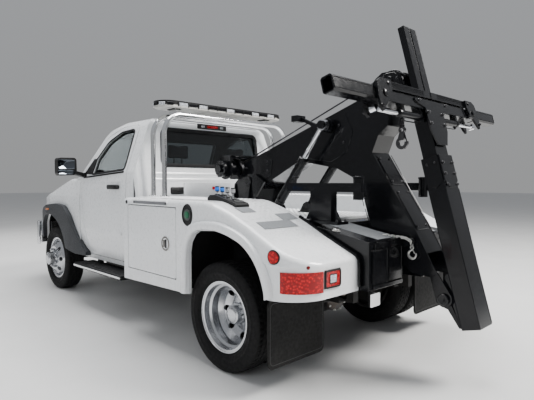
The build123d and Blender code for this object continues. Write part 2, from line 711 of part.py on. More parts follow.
with BuildPart() as light_bar:
    with BuildSketch(Plane.XY.offset(RACK_TOP + 74)):
        with Locations((0, R - 1405)):
            SlotOverall(1650, 290)
    extrude(amount=64)
light_bar.part.label = "light_bar"
export_step(light_bar.part, "parts/light_bar.step")

# ---------------------------------------------------------------- recovery body
BODY_TOP = [(-1475, POD_TOP, 0), (-90, POD_TOP, 500), (140, 1182, 900), (370, 1082, 900), (540, 1000, 0), (810, 880, 0)]
BODY_REAR = 810.0
EDGE_R = 45.0
ARCH = [(-330, 500), (-330, 850), (-312, 930), (-262, 995), (-190, 1030), (0, 1042), (150, 1020), (290, 978), (390, 915), (460, 840), (510, 745), (535, 640), (535, 500)]
LOCKER = (-1290.0, -520.0, 600.0, 1195.0)      # toolbox space: y from, y to, z from, z to
LOCKER_DOOR = (-1270.0, -500.0, 622.0, 1185.0)


def body_outline(extra=0.0):
    """Plan of the body, rounded at its rear corners."""
    with BuildSketch(Plane.XY) as plan:
        with BuildLine():
            l1 = Line((BODY_X, R - 1350), (BODY_X, R + 560))
            l2 = RadiusArc((BODY_X, R + 560), (950, R + BODY_REAR), -250)
            l3 = Line((950, R + BODY_REAR), (-950, R + BODY_REAR))
            l4 = RadiusArc((-950, R + BODY_REAR), (-BODY_X, R + 560), -250)
            Polyline((-BODY_X, R + 560), (-BODY_X, R - 1350), (-1000, R - 1350), (-1000, R - 1475), (1000, R - 1475), (1000, R - 1350), (BODY_X, R - 1350))
        make_face()
        if extra:
            offset(amount=extra, mode=Mode.REPLACE)
    return plan.sketch


with BuildPart() as body:
    add(body_outline())
    extrude(amount=1300)
    with BuildSketch(Plane.YZ):
        with BuildLine():
            rounded(band(BODY_TOP + [(810, 650, 0), (535, 640, 0), (-340, 530, 0), (-1475, 508, 0)]))
        make_face()
    extrude(amount=1300, both=True, mode=Mode.INTERSECT)
    # well rounded upper outer edges
    fillet(body.edges().filter_by(lambda e: min(v.Z for v in e.vertices()) > 870 and e.center().Y > R - 1340 and (abs(e.center().X) > 960 or e.center().Y > R + 800)), radius=EDGE_R)
    # tunnel between the two side boxes, up to the deck plate
    with BuildSketch(side(-590)):
        with BuildLine():
            Polyline(*at([(-1500, 400), (-1500, DECK_Z - 30), (300, DECK_Z - 30), (900, 820), (900, 400)]), close=True)
        make_face()
    extrude(amount=1180, mode=Mode.SUBTRACT)
    # lower deck between the two side boxes
    with BuildSketch(side(-600)):
        with BuildLine():
            Polyline(*at([(-1290, DECK_Z), (-1290, 1400), (900, 1400), (900, DECK_Z)]), close=True)
        make_face()
    extrude(amount=1200, mode=Mode.SUBTRACT)
    # low bulkhead behind the cab
    with BuildSketch(Plane.XY.offset(POD_TOP - 20)):
        with Locations((0, R - 1405)):
            RectangleRounded(1000, 30, 10)
    extrude(amount=155)
    # opening in the deck for the tail structure
    with BuildSketch(Plane.XY.offset(400)):
        with Locations((0, R + 310 + 300)):
            Rectangle(1180, 600)
    extrude(amount=1000, mode=Mode.SUBTRACT)
    for hand in (1, -1):
        # locker space and its door opening
        with BuildSketch(side(hand * 625)):
            with Locations((R + (LOCKER[0] + LOCKER[1]) / 2, (LOCKER[2] + LOCKER[3]) / 2)):
                Rectangle(LOCKER[1] - LOCKER[0], LOCKER[3] - LOCKER[2])
        extrude(amount=hand * (BODY_X - SKIN - 625), mode=Mode.SUBTRACT)
        with BuildSketch(side(hand * 1100)):
            with Locations((R + (LOCKER_DOOR[0] + LOCKER_DOOR[1]) / 2, (LOCKER_DOOR[2] + LOCKER_DOOR[3]) / 2)):
                Rectangle(LOCKER_DOOR[1] - LOCKER_DOOR[0] + 2 * GAP, LOCKER_DOOR[3] - LOCKER_DOOR[2] + 2 * GAP)
        extrude(amount=hand * 200, mode=Mode.SUBTRACT)
        # wheel house inside, wheel opening in the skin
        with BuildSketch(side(hand * 620)):
            with BuildLine():
                Polyline(*at([(-480, 400), (-480, 1190), (-150, 1190), (90, 1135), (290, 1055), (550, 945), (620, 915), (620, 400)]), close=True)
            make_face()
        extrude(amount=hand * (BODY_X - SKIN - 620), mode=Mode.SUBTRACT)
        with BuildSketch(side(hand * 1100)):
            with BuildLine():
                Polyline(*at(ARCH), close=True)
            make_face()
        extrude(amount=hand * 200, mode=Mode.SUBTRACT)
        # hollow behind the wheel house, where the lamps sit
        with BuildSketch(Plane.XY.offset(680)):
            with BuildLine():
                Polyline((hand * 625, R + 650), (hand * 1130, R + 650), (hand * 1060, R + 740), (hand * 950, R + 780), (hand * 625, R + 780), close=True)
            make_face()
        extrude(amount=150, mode=Mode.SUBTRACT)
body.part.label = "recovery_body"
export_step(body.part, "parts/recovery_body.step")

for name, hand in (("left", 1), ("right", -1)):
    with BuildPart() as locker_door:
        y0, y1, z0, z1 = LOCKER_DOOR
        with BuildSketch(side(hand * (BODY_X - SKIN - 4))):
            with Locations((R + (y0 + y1) / 2, (z0 + z1) / 2)):
                RectangleRounded(y1 - y0, z1 - z0, 22)
        extrude(amount=hand * (SKIN + 4))
        # paddle latch
        with BuildSketch(side(hand * (BODY_X - 2))):
            with Locations((R - 640, 892)):
                Circle(62)
        extrude(amount=hand * 10)
    locker_door.part.label = "toolbox_door_" + name
    export_step(locker_door.part, "parts/toolbox_door_" + name + ".step")

# lens outlines: (x of the centre, height, width, tall) on the tail, and the round marker on the side
with BuildPart() as lens_prisms:
    for hand in (1, -1):
        with BuildSketch(Plane.XZ.offset(-(R + 590))):
            with Locations((hand * 1081, 764)):
                Rectangle(212, 134)
            with Locations((hand * 880, 775)):
                RectangleRounded(150, 108, 20)
        extrude(amount=-300)
        with BuildSketch(side(hand * 1100)):
            with Locations((R + 594, 920)):
                Circle(40)
        extrude(amount=hand * 150)
with BuildPart() as lamps:
    add(body_outline(9))
    extrude(amount=1300)
    add(body_outline())
    extrude(amount=1300, mode=Mode.SUBTRACT)
    add(lens_prisms.part, mode=Mode.INTERSECT)
lamps.part.label = "tail_lamps"
export_step(lamps.part, "parts/tail_lamps.step")

with BuildPart() as flaps:
    for hand in (1, -1):
        with BuildSketch(Plane.XZ.offset(-(R + 545))):
            with Locations((hand * 928, 410)):
                RectangleRounded(556, 452, 42)
            with Locations((hand * 925, 650)):
                Rectangle(450, 100)
        extrude(amount=-13)
        with BuildSketch(Plane.XY.offset(680)):
            with Locations((hand * 925, R + 582.5)):
                Rectangle(450, 75)
        extrude(amount=20)
flaps.part.label = "mud_flaps"
export_step(flaps.part, "parts/mud_flaps.step")

# valve consoles with their levers, one each side
with BuildPart() as consoles:
    for hand in (1, -1):
        with BuildSketch(side(hand * 920)):
            with BuildLine():
                Polyline(*at([(-282, 1180), (-282, 1268), (-250, 1292), (-190, 1294), (46, 1238), (60, 1224), (60, 1180)]), close=True)
            make_face()
            with BuildLine():
                rounded(band(BODY_TOP + [(810, 650, 0), (-1475, 650, 0)]))
            make_face(mode=Mode.SUBTRACT)
        extrude(amount=hand * 130)
        for i in range(4):
            y, z = R - 242 + 64 * i, 1322 - 4 * i
            with BuildSketch(Plane.XY.offset(1252)):
                with Locations((hand * 985, y)):
                    Circle(7)
            extrude(amount=z - 1240)
            with BuildSketch(Plane.XY.offset(z - 4)):
                with Locations((hand * 985, y)):
                    Circle(16)
            extrude(amount=42)
consoles.part.label = "valve_consoles"
export_step(consoles.part, "parts/valve_consoles.step")

# ---------------------------------------------------------------- steel tail, pedestal and dolly racks
with BuildPart() as tail:
    # two boxes beside the slot for the boom's leg, joined ahead of it
    with BuildSketch(Plane.YZ):
        with BuildLine():
            Polyline(*at([(320, 1082), (885, 985), (885, 650), (320, 650)]), close=True)
        make_face()
    extrude(amount=580, both=True)
    with BuildSketch(Plane.YZ):
        with BuildLine():
            Polyline(*at([(335, 1066), (870, 974), (870, 640), (335, 640)]), close=True)
        make_face()
    extrude(amount=565, both=True, mode=Mode.SUBTRACT)
    with BuildSketch(Plane.XY.offset(600)):
        with Locations((0, R + 410 + 300)):
            Rectangle(290, 600)
    extrude(amount=600, mode=Mode.SUBTRACT)
    for hand in (1, -1):
        with BuildSketch(side(hand * 145)):
            with BuildLine():
                Polyline(*at([(330, 1075), (885, 985), (885, 650), (330, 650)]), close=True)
            make_face()
        extrude(amount=hand * 12)
    # cross wall at the slot's end, and the subframe that carries it all on the rails
    with BuildSketch(Plane.XY.offset(650)):
        with Locations((0, R + 404)):
            Rectangle(290, 12)
    extrude(amount=400)
    for hand in (1, -1):
        with BuildSketch(Plane.XY.offset(RAIL_Z1)):
            with Locations((hand * 394, R - 350)):
                Rectangle(76, 1370)
        extrude(amount=90)
        # risers from the subframe to the deck
        for y in (-980, -200):
            with BuildSketch(Plane.XY.offset(RAIL_Z1 + 90)):
                with Locations((hand * 394, R + y)):
                    Rectangle(70, 90)
            extrude(amount=DECK_Z - 30 - RAIL_Z1 - 90)
tail.part.label = "tail_frame"
export_step(tail.part, "parts/tail_frame.step")

with BuildPart() as pedestal:
    for hand in (1, -1):
        with BuildSketch(side(hand * 138)):
            with BuildLine():
                Polyline(*at([(-1050, DECK_Z), (-1010, 1370), (-900, 1470), (-700, 1470), (-575, 1392), (-690, 1247), (-700, DECK_Z)]), close=True)
            make_face()
        extrude(amount=hand * 22)
        with BuildSketch(Plane.XY.offset(DECK_Z)):
            with Locations((hand * 165, R - 870)):
                Rectangle(110, 440)
        extrude(amount=14)
        # clevis of the lift cylinder on the deck
        for x in (LIFT_X - 58, LIFT_X + 46):
            with BuildSketch(side(hand * x)):
                with BuildLine():
                    Polyline(*at([(-420, DECK_Z), (-370, 1185), (-330, 1205), (-290, 1185), (-240, DECK_Z)]), close=True)
                make_face()
            extrude(amount=hand * 12)
        with BuildSketch(Plane.XY.offset(DECK_Z)):
            with Locations((hand * LIFT_X, R - 330)):
                Rectangle(130, 200)
        extrude(amount=10)
        with BuildSketch(side(hand * (LIFT_X - 62))):
            with Locations(LIFT_BASE):
                Circle(17)
        extrude(amount=hand * 124)
    # boom hinge pin
    with BuildSketch(side(-172)):
        with Locations(BOOM_PIVOT):
            Circle(25)
    extrude(amount=344)
pedestal.part.label = "boom_pedestal"
export_step(pedestal.part, "parts/boom_pedestal.step")

with BuildPart() as racks:
    for hand in (1, -1):
        with BuildSketch(Plane.XY.offset(1083)):
            with Locations((hand * 505, R + 468)):
                Rectangle(130, 290)
        extrude(amount=22)
        with BuildSketch(Plane.XY.offset(1100)):
            with Locations((hand * 505, R + 430)):
                Rectangle(70, 200)
        extrude(amount=225)
        with BuildSketch(side(hand * 470)):
            with BuildLine():
                Polyline(*at([(85, 1320), (85, 1385), (790, 1385), (790, 1320)]), close=True)
            make_face()
        extrude(amount=hand * 70)
        with BuildSketch(Plane.XY.offset(1265)):
            with Locations((hand * 470, R + 720)):
                Circle(38)
        extrude(amount=150)
racks.part.label = "dolly_racks"
export_step(racks.part, "parts/dolly_racks.step")

# ---------------------------------------------------------------- boom
# side outline of arm, head and leg
BOOM_SIDE = [(-905, 1330), (-905, 1580), (450, 2035), (560, 2105), (625, 2185), (680, 2222), (795, 2222), (845, 2190), (865, 2130), (862, 2070),
             (745, 1935), (735, 1820), (655, 1755), (600, 1622), (990, 1010), (1110, 800), (1250, 600), (1195, 517), (1140, 545), (1092, 715), (950, 728), (640, 930), (560, 1150), (490, 1396),
             (260, 1505), (-30, 1557), (-195, 1562), (-400, 1462), (-700, 1325)]
with BuildPart() as boom:
    with BuildSketch(Plane.YZ):
        with BuildLine():
            Polyline(*at(BOOM_SIDE), close=True)
        make_face()
    extrude(amount=BOOM_X, both=True)
    with BuildSketch(Plane.YZ):
        with BuildLine():
            Polyline(*at(BOOM_SIDE), close=True)
        make_face()
        offset(amount=-BOOM_PLATE, kind=Kind.INTERSECTION, mode=Mode.REPLACE)
    extrude(amount=BOOM_X - BOOM_PLATE, both=True, mode=Mode.SUBTRACT)
    # the leg's foot is a fork: open between its plates
    with BuildSketch(Plane.YZ):
        with BuildLine():
            Polyline(*at([(1000, 690), (985, 760), (1060, 885), (1330, 700), (1330, 430), (1000, 430)]), close=True)
        make_face()
    extrude(amount=BOOM_X - BOOM_PLATE, both=True, mode=Mode.SUBTRACT)
    # the head stays clear of the tube that slides out of the stinger
    with BuildSketch(Plane.YZ):
        with BuildLine():
            Polyline(*[up(n, v) for n, v in [(-127, 1660), (-127, 2400), (100, 2400), (100, 1660)]], close=True)
        make_face()
    extrude(amount=200, both=True, mode=Mode.SUBTRACT)
    # slot in the head for the sheave and the rope
    with BuildSketch(Plane.XY.offset(1960)):
        with Locations((0, R + 740)):
            Rectangle(80, 310)
    extrude(amount=300, mode=Mode.SUBTRACT)
    # bosses of the lift cylinders' upper pins
    for hand in (1, -1):
        with BuildSketch(side(hand * (BOOM_X - 5))):
            with Locations(LIFT_EYE):
                Circle(58)
        extrude(amount=hand * (LIFT_X - 36 - BOOM_X))
        with BuildSketch(side(hand * (BOOM_X - 5))):
            with Locations(LIFT_EYE):
                Circle(11)
        extrude(amount=hand * (LIFT_X + 44 - BOOM_X))
        with BuildSketch(side(hand * (LIFT_X + 32))):
            with Locations(LIFT_EYE):
                Circle(34)
        extrude(amount=hand * 8)
        # lug plates at the fold pin
        with BuildSketch(side(hand * (BOOM_X - BOOM_PLATE))):
            with Locations(FOLD_PIVOT):
                Circle(58)
        extrude(amount=hand * BOOM_PLATE)
    with BuildSketch(side(-BOOM_X - 14)):
        with Locations(FOLD_PIVOT):
            Circle(24)
    extrude(amount=2 * BOOM_X + 28)
    # bore for the hinge pin
    with BuildSketch(side(-200)):
        with Locations(BOOM_PIVOT):
            Circle(25.5)
    extrude(amount=400, mode=Mode.SUBTRACT)
    # lamp arm on the left
    with BuildSketch(side(BOOM_X - 4)):
        with BuildLine():
            Polyline(*at([(60, 1830), (100, 1860), (10, 1905), (-118, 1962), (-132, 1936), (-20, 1885)]), close=True)
        make_face()
    extrude(amount=30)
    with BuildSketch(side(BOOM_X - 30)):
        with Locations((R - 150, 1948)):
            Rectangle(70, 54)
    extrude(amount=110)
boom.part.label = "boom"
export_step(boom.part, "parts/boom.step")

with BuildPart() as winch:
    with BuildSketch(side(-250)):
        with Locations((R - 1045, 1525)):
            Circle(62)
    extrude(amount=500)
    for x in (-250, -130, 118, 238):
        with BuildSketch(side(x)):
            with Locations((R - 1045, 1525)):
                Circle(105)
        extrude(amount=12)
    with BuildSketch(side(250)):
        with Locations((R - 1045, 1525)):
            Circle(82)
    extrude(amount=70)
    with BuildSketch(side(-130)):
        with BuildLine():
            Polyline(*at([(-1120, 1420), (-1120, 1440), (-940, 1440), (-905, 1460), (-905, 1420)]), close=True)
        make_face()
    extrude(amount=260)
winch.part.label = "winch"
export_step(winch.part, "parts/winch.step")

with BuildPart() as hook:
    # rope over the boom, from the drum to the head sheave
    with BuildLine() as rope_line:
        Polyline((0, R - 1045, 1595), (0, R + 660, 2236))
    with BuildSketch(Plane(origin=rope_line.line @ 0, z_dir=rope_line.line % 0)):
        Circle(6)
    sweep(path=rope_line.line)
    # sheave, hanging rope end and hook
    with BuildSketch(side(-14)):
        with Locations((R + 697, 2150)):
            Circle(98)
    extrude(amount=28)
    # axle of the sheave, in the slot's cheeks
    with BuildSketch(side(-39)):
        with Locations((R + 697, 2150)):
            Circle(16)
    extrude(amount=78)
    with BuildSketch(Plane.XY.offset(1860)):
        with Locations((0, R + 790)):
            Circle(7)
    extrude(amount=290)
    # rope end fitting, swivel eye, then the round hook with its throat open to the rear
    with BuildSketch(Plane.XY.offset(1812)):
        with Locations((0, R + 790)):
            Circle(12)
    extrude(amount=70)
    with BuildSketch(side(-11)):
        with Locations((R + 790, 1790)):
            Circle(27)
            Circle(13, mode=Mode.SUBTRACT)
        with Locations((R + 790, 1691)):
            Circle(49)
            Circle(25, mode=Mode.SUBTRACT)
        with BuildLine():
            Polyline(*at([(792, 1695), (900, 1712), (900, 1770), (812, 1770), (812, 1722)]), close=True)
        make_face(mode=Mode.SUBTRACT)
        with BuildLine():
            Polyline(*at([(772, 1775), (808, 1775), (812, 1735), (798, 1712), (762, 1712), (758, 1730)]), close=True)
        make_face()
    extrude(amount=22)
hook.part.label = "winch_rope_and_hook"
export_step(hook.part, "parts/winch_rope_and_hook.step")

# ---------------------------------------------------------------- lift cylinders: both barrels on one body, both rods on one body
dy, dz = LIFT_EYE[0] - LIFT_BASE[0], LIFT_EYE[1] - LIFT_BASE[1]
LIFT_L = (dy * dy + dz * dz) ** 0.5
LIFT_DIR = (0, dy / LIFT_L, dz / LIFT_L)
def lift_plane(hand, along):
    """Section of a lift cylinder, along from its lower pin."""
    return Plane(origin=(hand * LIFT_X, LIFT_BASE[0], LIFT_BASE[1]), x_dir=(1, 0, 0), z_dir=LIFT_DIR).offset(along)


with BuildPart() as barrels:
    for hand in (1, -1):
        with BuildSketch(lift_plane(hand, 20)):
            Circle(40)
        extrude(amount=520)
        with BuildSketch(lift_plane(hand, 66)):
            Circle(22)
        extrude(amount=520, mode=Mode.SUBTRACT)
        with BuildSketch(side(hand * (LIFT_X - 40))):
            with Locations(LIFT_BASE):
                Circle(34)
        extrude(amount=hand * 80)
        with BuildSketch(side(hand * (LIFT_X - 45))):
            with Locations(LIFT_BASE):
                Circle(17.4)
        extrude(amount=hand * 90, mode=Mode.SUBTRACT)
barrels.part.label = "lift_cylinder_barrels"
export_step(barrels.part, "parts/lift_cylinder_barrels.step")

with BuildPart() as rods:
    for hand in (1, -1):
        with BuildSketch(lift_plane(hand, 150)):
            Circle(21.6)
        extrude(amount=LIFT_L - 150 - 35)
        with BuildSketch(side(hand * (LIFT_X - 24))):
            with Locations(LIFT_EYE):
                Circle(46)
                Circle(27, mode=Mode.SUBTRACT)
        extrude(amount=hand * 48)
rods.part.label = "lift_cylinder_rods"
export_step(rods.part, "parts/lift_cylinder_rods.step")

# ---------------------------------------------------------------- stinger
with BuildPart() as stinger:
    with BuildSketch(Plane(origin=T.origin, x_dir=(1, 0, 0), z_dir=T.y_dir)):
        with Locations((0, -TUBE_D / 2)):
            Rectangle(TUBE_W, TUBE_D)
            Rectangle(TUBE_W - 18, TUBE_D - 18, mode=Mode.SUBTRACT)
    extrude(amount=TUBE_L)
    with BuildSketch(Plane(origin=T.origin, x_dir=(1, 0, 0), z_dir=T.y_dir)):
        with Locations((0, -TUBE_D / 2)):
            Rectangle(TUBE_W, TUBE_D)
    extrude(amount=12)
    # heel that reaches to the fold pin
    with BuildSketch(side(-94)):
        with BuildLine():
            Polyline(*[up(n, s) for n, s in [(-124, 10), (-124, 400), (-150, 395), (-215, 295), (-255, 262), (-266, 225), (-250, 178), (-200, 150), (-150, 15)]], close=True)
        make_face()
    extrude(amount=188)
    with BuildSketch(Plane(origin=T.origin, x_dir=(1, 0, 0), z_dir=T.y_dir).offset(14)):
        with Locations((0, -TUBE_D / 2)):
            Rectangle(TUBE_W - 18, TUBE_D - 18)
    extrude(amount=TUBE_L, mode=Mode.SUBTRACT)
    with BuildSketch(side(-120)):
        with Locations(FOLD_PIVOT):
            Circle(24.5)
    extrude(amount=240, mode=Mode.SUBTRACT)
    # doubler plate round the mouth
    with BuildSketch(T.offset(-9)):
        with BuildLine():
            Polyline((-100, TUBE_L), (100, TUBE_L), (100, TUBE_L - 190), (40, TUBE_L - 240), (-40, TUBE_L - 240), (-100, TUBE_L - 190), close=True)
        make_face()
    extrude(amount=9)
stinger.part.label = "stinger_tube"
export_step(stinger.part, "parts/stinger_tube.step")

# crossbar with the sliding inner tube, its T plate, the fixed outer arms and the claw cylinder barrels
ROD_S, ROD_N = 1505.0, 43.0
with BuildPart() as crossbar:
    with BuildSketch(Plane(origin=T.origin, x_dir=(1, 0, 0), z_dir=T.y_dir).offset(260)):
        with Locations((0, -TUBE_D / 2)):
            Rectangle(TUBE_W - 22, TUBE_D - 22)
            Rectangle(TUBE_W - 42, TUBE_D - 42, mode=Mode.SUBTRACT)
    extrude(amount=1320)
    with BuildSketch(T):
        with Locations((0, 1593)):
            Rectangle(1500, 74)
    extrude(amount=85)
    for hand in (1, -1):
        with BuildSketch(Plane(origin=T.origin, x_dir=T.y_dir, z_dir=(hand, 0, 0)).offset(748)):
            with BuildLine():
                Polyline(*[(s, hand * n) for s, n in [(1565, 0), (1643, 0), (1655, 12), (1655, 73), (1643, 85), (1565, 85), (1553, 73), (1553, 12)]], close=True)
            make_face()
        extrude(amount=412)
        # open end of the arm
        with BuildSketch(T.offset(9)):
            with BuildLine():
                Polyline(*[(hand * x, s) for x, s in [(900, 1562), (1161, 1562), (1161, 1646), (900, 1646)]], close=True)
            make_face()
        extrude(amount=67, mode=Mode.SUBTRACT)
        # claw pivot bore
        with BuildSketch(T.offset(-20)):
            with Locations((hand * CLAW_X, CLAW_S)):
                Circle(20.4)
        extrude(amount=140, mode=Mode.SUBTRACT)
        # claw cylinder barrel, below the bar, with its lug
        with BuildSketch(Plane(origin=T.origin, x_dir=T.y_dir, z_dir=(hand, 0, 0)).offset(110)):
            with Locations((ROD_S, hand * ROD_N)):
                Circle(27)
        extrude(amount=330)
        with BuildSketch(T.offset(ROD_N - 27)):
            with Locations((hand * 140, ROD_S + 40)):
                Rectangle(46, 50)
            with Locations((hand * 400, ROD_S + 40)):
                Rectangle(30, 50)
        extrude(amount=42)
        with BuildSketch(Plane(origin=T.origin, x_dir=T.y_dir, z_dir=(hand, 0, 0)).offset(122)):
            with Locations((ROD_S, hand * ROD_N)):
                Circle(15)
        extrude(amount=330, mode=Mode.SUBTRACT)
    # T plate on the rear face
    with BuildSketch(T.offset(-10)):
        with BuildLine():
            Polyline((-260, 1622), (260, 1622), (260, 1600), (132, 1560), (128, 1400), (70, 1290), (-70, 1290), (-128, 1400), (-132, 1560), (-260, 1600), close=True)
        make_face()
    extrude(amount=10)
crossbar.part.label = "crossbar"
export_step(crossbar.part, "parts/crossbar.step")

# claws: plates on both faces of the bar, the link along the bar, the leg up the stinger
for name, hand in (("left", 1), ("right", -1)):
    with BuildPart() as claw:
        plate = [(742, 1600), (748, 1560), (742, 1495), (726, 1466), (708, 1480), (640, 1548), (596, 1560), (560, 1640), (560, 1696), (680, 1696), (725, 1670)]
        for n, thick in ((-24, 18), (91, 18)):
            with BuildSketch(T.offset(n)):
                with BuildLine():
                    Polyline(*[(hand * x, s) for x, s in plate], close=True)
                make_face()
            extrude(amount=thick)
        # pivot pin
        with BuildSketch(T.offset(-24)):
            with Locations((hand * CLAW_X, CLAW_S)):
                Circle(20)
        extrude(amount=133)
        # link and leg
        with BuildSketch(T.offset(-7)):
            with BuildLine():
                Polyline(*[(hand * x, s) for x, s in [(585, 1643), (585, 1696), (8, 1696), (8, 1643)]], close=True)
            make_face()
        extrude(amount=98)
        with BuildSketch(T.offset(28)):
            with BuildLine():
                Polyline(*[(hand * x, s) for x, s in [(8, 1643), (88, 1643), (88, 2225), (8, 2225)]], close=True)
            make_face()
        extrude(amount=50)
    claw.part.label = "claw_" + name
    export_step(claw.part, "parts/claw_" + name + ".step")

    with BuildPart() as rod:
        with BuildSketch(Plane(origin=T.origin, x_dir=T.y_dir, z_dir=(hand, 0, 0)).offset(300)):
            with Locations((ROD_S, hand * ROD_N)):
                Circle(14.6)
        extrude(amount=410)
        with BuildSketch(T.offset(22)):
            with Locations((hand * 728, ROD_S)):
                Circle(24)
        extrude(amount=42)
    rod.part.label = "claw_rod_" + name
    export_step(rod.part, "parts/claw_rod_" + name + ".step")
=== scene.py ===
from math import cos, sin, radians, pi, atan2, sqrt, tan

import bmesh
import bpy
from mathutils import Matrix, Vector


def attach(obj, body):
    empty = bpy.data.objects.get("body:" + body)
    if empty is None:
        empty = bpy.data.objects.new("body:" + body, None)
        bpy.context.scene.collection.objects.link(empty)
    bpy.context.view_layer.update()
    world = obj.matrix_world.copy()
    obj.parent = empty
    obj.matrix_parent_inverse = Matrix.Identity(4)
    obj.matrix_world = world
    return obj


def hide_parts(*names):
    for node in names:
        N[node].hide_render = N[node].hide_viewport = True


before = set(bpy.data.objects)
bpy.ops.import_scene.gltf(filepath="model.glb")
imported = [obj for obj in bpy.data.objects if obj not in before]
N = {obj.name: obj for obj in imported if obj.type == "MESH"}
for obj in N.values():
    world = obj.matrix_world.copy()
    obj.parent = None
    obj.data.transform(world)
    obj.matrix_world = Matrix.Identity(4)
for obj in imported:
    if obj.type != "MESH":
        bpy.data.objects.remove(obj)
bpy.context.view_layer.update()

R = 1.590                    # rear axle, y
F = R - 3.670                # front axle, y
TYRE_R = 0.405
LEAN = radians(15)
TO = Vector((0, R + 1.442, 0.408))          # lower rear edge of the stinger
TS = Vector((0, -sin(LEAN), cos(LEAN)))     # up the stinger
TN = Vector((0, cos(LEAN), sin(LEAN)))      # out of its rear face


def tp(x, s, n):
    """A point of the stinger: across, up, behind its rear face."""
    return Vector((x, 0, 0)) + TO + TS * s + TN * n


# ------------------------------------------------------------------ materials
class Mat:
    """A node material; helpers return sockets."""

    def __init__(self, name):
        self.m = bpy.data.materials.new(name)
        self.m.use_nodes = True
        self.t = self.m.node_tree
        self.t.nodes.clear()
        self.out = self.t.nodes.new("ShaderNodeOutputMaterial")
        self.b = self.t.nodes.new("ShaderNodeBsdfPrincipled")
        self.t.links.new(self.b.outputs[0], self.out.inputs[0])
        self.co = self.t.nodes.new("ShaderNodeTexCoord").outputs["Object"]

    def set(self, **kw):
        for k, v in kw.items():
            self.b.inputs[k.replace("_", " ")].default_value = v
        return self

    def link(self, a, name):
        self.t.links.new(a, self.b.inputs[name])

    def node(self, kind, **kw):
        n = self.t.nodes.new(kind)
        for k, v in kw.items():
            setattr(n, k, v)
        return n

    def noise(self, scale, detail=4.0, rough=0.55, stretch=None):
        co = self.co
        if stretch:
            mp = self.node("ShaderNodeMapping")
            mp.inputs["Scale"].default_value = stretch
            self.t.links.new(co, mp.inputs["Vector"])
            co = mp.outputs[0]
        n = self.node("ShaderNodeTexNoise")
        n.inputs["Scale"].default_value = scale
        n.inputs["Detail"].default_value = detail
        n.inputs["Roughness"].default_value = rough
        self.t.links.new(co, n.inputs["Vector"])
        return n.outputs["Fac"]

    def voronoi(self, scale, feature="F1", stretch=None, out="Distance"):
        co = self.co
        if stretch:
            mp = self.node("ShaderNodeMapping")
            mp.inputs["Scale"].default_value = stretch
            self.t.links.new(co, mp.inputs["Vector"])
            co = mp.outputs[0]
        n = self.node("ShaderNodeTexVoronoi", feature=feature)
        n.inputs["Scale"].default_value = scale
        self.t.links.new(co, n.inputs["Vector"])
        return n.outputs[out]

    def ramp(self, a, lo, hi, v0=0.0, v1=1.0):
        n = self.node("ShaderNodeMapRange")
        n.clamp = True
        for k, v in (("From Min", lo), ("From Max", hi), ("To Min", v0), ("To Max", v1)):
            n.inputs[k].default_value = v
        self.t.links.new(a, n.inputs["Value"])
        return n.outputs["Result"]

    def math(self, op, a, b=None, v=0.0):
        n = self.node("ShaderNodeMath", operation=op)
        self.t.links.new(a, n.inputs[0])
        if b is not None:
            self.t.links.new(b, n.inputs[1])
        else:
            n.inputs[1].default_value = v
        return n.outputs[0]

    def mix(self, fac, a, b):
        n = self.node("ShaderNodeMix", data_type="RGBA")
        self.t.links.new(fac, n.inputs["Factor"])
        for i, v in ((6, a), (7, b)):
            if isinstance(v, tuple):
                n.inputs[i].default_value = (*v, 1) if len(v) == 3 else v
            else:
                self.t.links.new(v, n.inputs[i])
        return n.outputs[2]

    def axis(self, which):
        n = self.node("ShaderNodeSeparateXYZ")
        self.t.links.new(self.co, n.inputs[0])
        return n.outputs["XYZ".index(which)]

    def up(self):
        g = self.node("ShaderNodeNewGeometry")
        n = self.node("ShaderNodeSeparateXYZ")
        self.t.links.new(g.outputs["Normal"], n.inputs[0])
        return n.outputs[2]

    def bump(self, height, strength=0.2, distance=0.002):
        n = self.node("ShaderNodeBump")
        n.inputs["Strength"].default_value = strength
        n.inputs["Distance"].default_value = distance
        self.t.links.new(height, n.inputs["Height"])
        self.link(n.outputs[0], "Normal")
        return n


def paint(name, base, dark, rough, coat, dust, dust_and_sheen_amount, low=0.9, mask=None, spec=0.5):
    """Sprayed paint: faint mottling, dust that gathers low down and on upward faces, fine orange peel. Where the dust
    colour is bluish, as on the black paint, the upward faces get painted sky sheen as well as dust.
    """
    m = Mat(name)
    col = m.mix(m.ramp(m.noise(2.2, 5), 0.35, 0.7), base, dark)
    fine = m.noise(14, 8, 0.7)
    lowness = m.ramp(m.axis("Z"), low, 0.35)
    film = m.math("MULTIPLY", m.ramp(fine, 0.42, 0.75), lowness)
    # dust on upward faces; with a bluish dust colour this is painted sky sheen too
    upward_dust_and_sheen = m.math("MULTIPLY", m.ramp(m.noise(5, 6, 0.7, (1, 1, 0.25)), 0.5, 0.8, 0, 0.35), m.ramp(m.up(), 0.2, 0.95, 0.15, 1.0))
    dust_and_sheen = m.math("MULTIPLY", m.math("MAXIMUM", film, upward_dust_and_sheen), v=dust_and_sheen_amount)
    skin = m.mix(dust_and_sheen, col, dust)
    rg = m.ramp(m.math("ADD", m.noise(30, 6, 0.7), dust_and_sheen), 0.3, 1.3, rough, rough + 0.35)
    m.set(Coat_Weight=coat, Coat_Roughness=0.04, IOR=1.5, Specular_IOR_Level=spec)
    if mask:
        # masked insides take a darker colour: dark lining in the cab, the doors and the front wheel arches; on the
        # recovery body the insides of the wheel houses, lockers and underside are simply darkened
        f, tint, r2 = mask(m)
        inner = m.mix(m.ramp(m.noise(18, 7, 0.7), 0.35, 0.7), tint, tuple(c * 1.7 for c in tint))
        skin = m.mix(f, skin, inner)
        m.link(m.math("MAXIMUM", rg, m.math("MULTIPLY", f, v=r2)), "Roughness")
        m.link(m.ramp(f, 0.0, 1.0, coat, 0.0), "Coat Weight")
    else:
        m.link(rg, "Roughness")
    m.link(skin, "Base Color")
    m.bump(m.noise(700, 2), 0.05, 0.0004)
    return m.m


